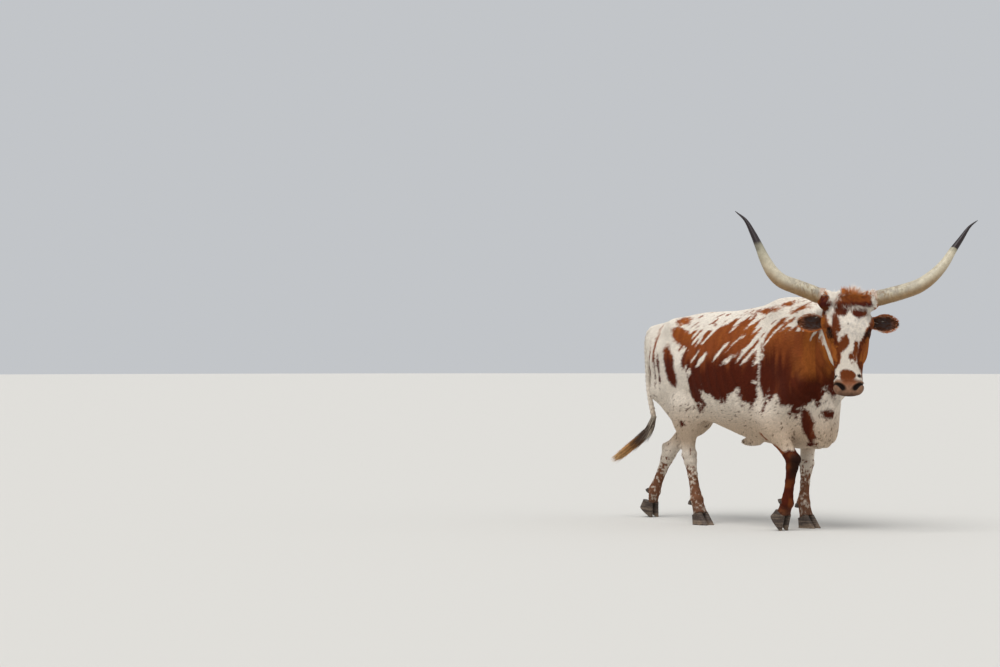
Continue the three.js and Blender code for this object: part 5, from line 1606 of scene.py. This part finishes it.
core_shift = np.concatenate([np.repeat(core_share, CORE_SIDES) * 0.8, [0, 0.8]])
core_tints = np.stack(table_curve(SWITCH_COLOURS, core_shift), 1)
colour_points(core.data, core_tints * 0.6)
for piece in (switch, core):
    piece.data.materials.append(hair_finish)
    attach(piece, "root")
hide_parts("tail_switch")
print("switch:", len(switch.data.polygons), "triangles")

# %% Shaggy poll
POLL_HAIRS = 4600
POLL_PALE = [[-92, -14, 24, 60, 4], [152, 22, 24, 66, 0], [48, 55, 44, 5, 4], [108, 68, 30, 10, -8]]
draw = np.random.default_rng(31)
b = draw.uniform(-1, 1, POLL_HAIRS)
b = np.sign(b) * np.abs(b) ** 0.85 * 152
a = draw.uniform(-36, 72, POLL_HAIRS)
roots = from_head(np.stack([a, b, np.full(POLL_HAIRS, 55.0)], 1))
roots = settle(roots, skin_distance, 10, 30.0)
keep = (np.abs(skin_distance(roots)) < 3) & (to_head(roots)[:, 2] > -95)
roots, b, a = roots[keep], b[keep], a[keep]
away = unit(slope_of(skin_distance, roots))
count = len(roots)
tangle = noise(roots, 30.0)[:, None] - 0.5
clump = noise(roots + 70.0, 16.0)[:, None] - 0.5
down = HEAD_NOSE * (0.8 + 0.5 * draw.random(count))[:, None]
rear = smooth_step(2, -24, a)[:, None]
swirl = HEAD_LEFT * (3.4 * tangle + 0.25 * np.sign(b)[:, None] + draw.normal(0, 0.22, (count, 1)))
fall = down * (1 - rear) - HEAD_NOSE * 0.8 * rear + swirl
grow = away * (0.5 + 1.1 * clump) + fall * 0.85 + draw.normal(0, 0.10, (count, 3))
length = draw.uniform(34, 66, count) * (1 - 0.25 * np.abs(b) / 150) * (0.85 + 0.7 * clump[:, 0])
base = markings(roots, draw.normal(0, 7, count))
top = smooth_step(16, -22, a)
pale_tufts = ovals(b, a, POLL_PALE, 4) + 14 * (noise(roots + 30.0, 14.0) - 0.5)
pale = edge(pale_tufts + draw.normal(0, 3.5, count), 4)
pale = np.maximum(pale, smooth_step(-16, -30, a) * (noise(roots + 50.0, 17.0) > 0.56))
brown = paint(CHESTNUT, smooth_step(0.4, 0.6, noise(roots + 10.0, 20.0)) * top, ORANGE)
brown = paint(brown, smooth_step(0.42, 0.58, noise(roots + 110.0, 13.0)) * smooth_step(-20, 12, a), MAROON)
tints = paint(base, smooth_step(36, 16, a), brown)
tints = paint(tints, pale, CREAM) * draw.uniform(0.75, 1.2, count)[:, None]
unwrap = unroll(b, a, -160, 160, -45, 80)
width = draw.uniform(1.6, 3.6, count)
poll = locks("poll_hair", roots - away * 2, grow, fall + away * 0.1, away, length, width,
             np.clip(tints, 0.01, 0.9), unwrap)
poll.data.materials.append(hair_finish)
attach(poll, "root")
print("poll:", len(poll.data.polygons), "triangles", spent(), "s")

# %% Ear hairs and lashes
EAR_HAIRS = 700
LASHES = 46
draw = np.random.default_rng(41)
for s, name in ((1, "left"), (-1, "right")):
    root, along, open_way, wide = ear_frame(s)
    t = draw.uniform(0.12, 0.97, EAR_HAIRS)
    rim = draw.random(EAR_HAIRS) < 0.6
    at_rim = np.sign(draw.uniform(-1, 1, EAR_HAIRS)) * draw.uniform(0.93, 1.0, EAR_HAIRS)
    x = np.where(rim, at_rim, draw.uniform(-0.9, 0.9, EAR_HAIRS))
    roots = ear_point(s, t, x, np.full(EAR_HAIRS, 3.0))
    grow = along * 0.8 + open_way * 0.5 - wide * (x * np.where(rim, -0.6, 0.7))[:, None]
    grow = grow + draw.normal(0, 0.15, (EAR_HAIRS, 3))
    fall = along + open_way * 0.1 + [0.25, 0, 0]
    length = np.where(rim, draw.uniform(9, 20, EAR_HAIRS), draw.uniform(16, 34, EAR_HAIRS) * (1 - 0.5 * t))
    pale = draw.random(EAR_HAIRS) < np.where(rim, 0.30 * (x > 0), 0.02)
    tints = np.where(pale[:, None], CREAM * 0.8, np.where(rim[:, None], EAR_RIM * 1.3, EAR_RIM * 0.2))
    tints = tints * draw.uniform(0.7, 1.3, EAR_HAIRS)[:, None]
    fringe = locks("ear_hair_" + name, from_head(roots), grow @ HEAD_AXES, fall @ HEAD_AXES,
                   np.tile(open_way @ HEAD_AXES, (EAR_HAIRS, 1)), length, draw.uniform(1.4, 2.6, EAR_HAIRS),
                   tints, unroll(x, t, -1, 1, 0, 1))
    middle, look, corner, high = eye_frame(s)
    line = lid_line(s, 1, LASHES, 5.0)
    spread = corner * np.linspace(-0.5, 0.5, LASHES)[:, None]
    lash_way = look * 0.8 + high * 0.55 + spread
    lash_fall = look * 0.8 - high * 0.15 + spread
    lash_tints = DARK_AND_SHADE * draw.uniform(0.8, 1.4, LASHES)[:, None]
    span = np.linspace(0, 1, LASHES)
    lashes = locks("lashes_" + name, from_head(line), lash_way @ HEAD_AXES, lash_fall @ HEAD_AXES,
                   np.tile(high @ HEAD_AXES, (LASHES, 1)), draw.uniform(9, 13, LASHES),
                   np.full(LASHES, 0.9), lash_tints, unroll(span, span * 0 + 0.5, 0, 1, 0, 1))
    for piece in (fringe, lashes):
        piece.data.materials.append(hair_finish)
        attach(piece, "root")
print("ear hairs and lashes made")

# %% [markdown]
# ## The short coat
# Some 340,000 small tufts lie along the body, each a flat tetrahedron: two root corners
# sunk in the skin, a low ridge and a tip. They lie back along the barrel, down the legs and down
# the nose from the whorl of the forehead, which is how a real steer's hair lies. Their shading
# follows the skin's, so they read as soft hair and not as chips.

# %% The lie of the hair


def lie_of(p, away):
    """Which way hair points: back and down on the body, down the legs, out from the face's whorl."""
    q = to_head(p)
    x, z = p[:, 0], p[:, 2]
    leg = smooth_step(640, 520, z)
    lie = np.stack([-1.0 + 0.75 * leg, 0.0 * x, -0.42 - 0.9 * leg], 1)
    neck = smooth_step(560, 700, x)[:, None]
    lie = lie * (1 - neck) + np.array([-0.75, 0.1, -0.8]) * neck
    tail = ((x < -690) & (z < 1150))[:, None]
    lie = np.where(tail, [0.0, 0.0, -1.0], lie)
    whorl = q - [168.0, 0.0, 0.0]
    face = smooth_step(-30, 40, q[:, 0]) * (head_nearby(p) < 25)
    fore = whorl[:, 0] + 25 * np.sign(whorl[:, 0] + 1)
    out = unit(np.stack([fore, 0.55 * whorl[:, 1], 0.12 * whorl[:, 2]], 1))
    down_nose = smooth_step(190, 260, q[:, 0])[:, None]
    nose = unit(np.stack([1 + 0 * x, 0.22 * np.sign(q[:, 1]), -0.25 + 0 * x], 1))
    out = out * (1 - down_nose) + nose * down_nose
    lie = lie * (1 - face[:, None]) + (out @ HEAD_AXES) * face[:, None]
    sway = noise(p, 55.0)[:, None] - 0.5
    lie = lie + np.cross(away, lie) * sway * 0.9
    return unit(lie - away * (lie * away).sum(1, keepdims=True))


def tufts(name, p, away, length, width, lift, colours, unwrap, draw):
    """Four points per tuft: two roots side by side, a ridge at 0.4 of its length and the tip."""
    count = len(p)
    lie = lie_of(p, away)
    lie = unit(lie + np.cross(away, lie) * draw.normal(0, 0.22, (count, 1)))
    across = np.cross(lie, away)
    half = (width / 2)[:, None]
    root = p - away * 0.8
    left = root - across * half
    right = root + across * half
    rise = away * (length * lift)[:, None]
    tip = root + lie * length[:, None] + rise + away * 0.6
    ridge = root + lie * (0.4 * length)[:, None] + rise * 0.6 + away * (1.0 + 0.12 * width)[:, None]
    points = np.stack([left, right, tip, ridge], 1).reshape(-1, 3)
    shape = np.array([[1, 2, 3], [2, 0, 3], [0, 1, 3], [0, 2, 1]])
    faces = (shape[None] + (np.arange(count) * 4)[:, None, None]).reshape(-1, 3)
    shade = np.array([0.86, 0.86, 1.10, 1.0])
    tints = np.clip(colours[:, None] * shade[None, :, None], 0, 0.92).reshape(-1, 3)
    u = np.array([-0.5, 0.5, 0.0, 0.0]) * PATCH
    v = np.array([0.0, 0.0, 1.0, 0.4]) * PATCH
    uv = np.stack([unwrap[:, :1] + u, unwrap[:, 1:2] + v], -1).reshape(-1, 2)
    soft = unit(away + across * draw.normal(0, 0.16, (count, 1)) + lie * 0.10)
    normals = [unit(soft - across * 0.25), unit(soft + across * 0.25), soft, soft]
    return hair_piece(name, points, faces, tints, uv, np.stack(normals, 1).reshape(-1, 3))


# %% Roots spread evenly over the skin
corners = skin_body[triangles]
cross = np.cross(corners[:, 1] - corners[:, 0], corners[:, 2] - corners[:, 0])
areas = np.linalg.norm(cross, axis=1) / 2
centres = corners.mean(1)
head_q = to_head(centres)
is_face = (head_nearby(centres) < 22) & (head_q[:, 0] > -10)
bare = is_face & (head_q[:, 0] > 498) & (head_q[:, 2] > -150)
for s in (-1, 1):
    bare |= is_face & (np.linalg.norm((head_q - mirrored(EYE, s)) / [33, 30, 22], axis=1) < 1)
is_leg = (centres[:, 2] < 560) & ~is_face & ((centres[:, 0] < 560) | (centres[:, 2] < 470))
is_leg &= ~((np.abs(centres[:, 0] - 100) < 130) & (centres[:, 2] > 440))
is_neck = (centres[:, 0] > 560) & ~is_face & ~is_leg
trunk = ~is_face & ~is_leg & ~is_neck
right_side = centres[:, 1] < 0
BARREL_MIDDLE = -60.0
fore_half = centres[:, 0] > BARREL_MIDDLE
TRUNK_HAIR = ((14, 21), (2.8, 4.4), 0.12)
LEG_HAIR = ((8, 12), (1.9, 3.0), 0.14)
# (chosen triangles, tufts, lengths, widths, lift)
REGIONS = {
    "coat_face": (is_face & ~bare, 46000, (6.5, 9.0), (1.5, 2.4), 0.16),
    "coat_neck": (is_neck, 46000, (13, 20), (2.6, 4.2), 0.13),
    "coat_right_fore": (trunk & right_side & fore_half, 42000, *TRUNK_HAIR),
    "coat_right_hind": (trunk & right_side & ~fore_half, 42000, *TRUNK_HAIR),
    "coat_left_fore": (trunk & ~right_side & fore_half, 40000, *TRUNK_HAIR),
    "coat_left_hind": (trunk & ~right_side & ~fore_half, 40000, *TRUNK_HAIR),
    "coat_fore_legs": (is_leg & (centres[:, 0] > 150), 38000, *LEG_HAIR),
    "coat_hind_legs": (is_leg & (centres[:, 0] <= 150), 44000, *LEG_HAIR),
}
for name, (chosen, wanted, long, wide, lift) in REGIONS.items():
    draw = np.random.default_rng(sum(map(ord, name)))
    count = int(wanted * (1))
    weight = np.where(chosen, areas, 0)
    heap = np.cumsum(weight) / weight.sum()
    pick = np.searchsorted(heap, (np.arange(count) + draw.random(count)) / count)
    r1, r2 = np.sqrt(draw.random(count)), draw.random(count)
    mix = np.stack([1 - r1, r1 * (1 - r2), r1 * r2], 1)
    p = (corners[pick] * mix[..., None]).sum(1)
    away = unit((skin_normals[triangles[pick]] * mix[..., None]).sum(1))
    length = draw.uniform(*long, count)
    width = draw.uniform(*wide, count)
    colours = markings(p, draw.normal(0, 5.0, count)) * draw.uniform(0.84, 1.16, count)[:, None]
    q = to_head(p)
    if name == "coat_face":
        unwrap = unroll(np.arctan2(q[:, 2] + 80, q[:, 1]), q[:, 0], -math.pi, math.pi, -20, 600)
    elif "legs" in name:
        leg_number = (p[:, 1] > 0).astype(int)
        middle_x = table_curve([[0, 430], [150, 440], [420, 480], [640, 450]], p[:, 2])[0]
        middle_x = np.where(p[:, 0] > 150, middle_x, np.where(p[:, 1] > 0, -760, -250))
        around = np.arctan2(np.abs(p[:, 1]) - 142, p[:, 0] - middle_x) / (2 * math.pi) + 0.5
        unwrap = unroll(around + 1.1 * leg_number, p[:, 2], 0, 2.1, 40, 700)
    else:
        x = p[:, 0]
        unwrap = unroll(np.arctan2(p[:, 2] - 900, p[:, 1]), x, -math.pi, math.pi, x.min(), x.max())
    piece = tufts(name, p, away, length, width, lift, colours, unwrap, draw)
    piece.data.materials.append(coat_finish)
    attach(piece, "root")
    print(name, len(piece.data.polygons), "triangles", spent(), "s")

# %% [markdown]
# ## The size of the dressed model
# The box round the dressed model, the floor left out, is worked out and printed.

# %% Size of the dressed model
visual_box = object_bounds()
print("visual box", visual_box, "in", spent(), "s")
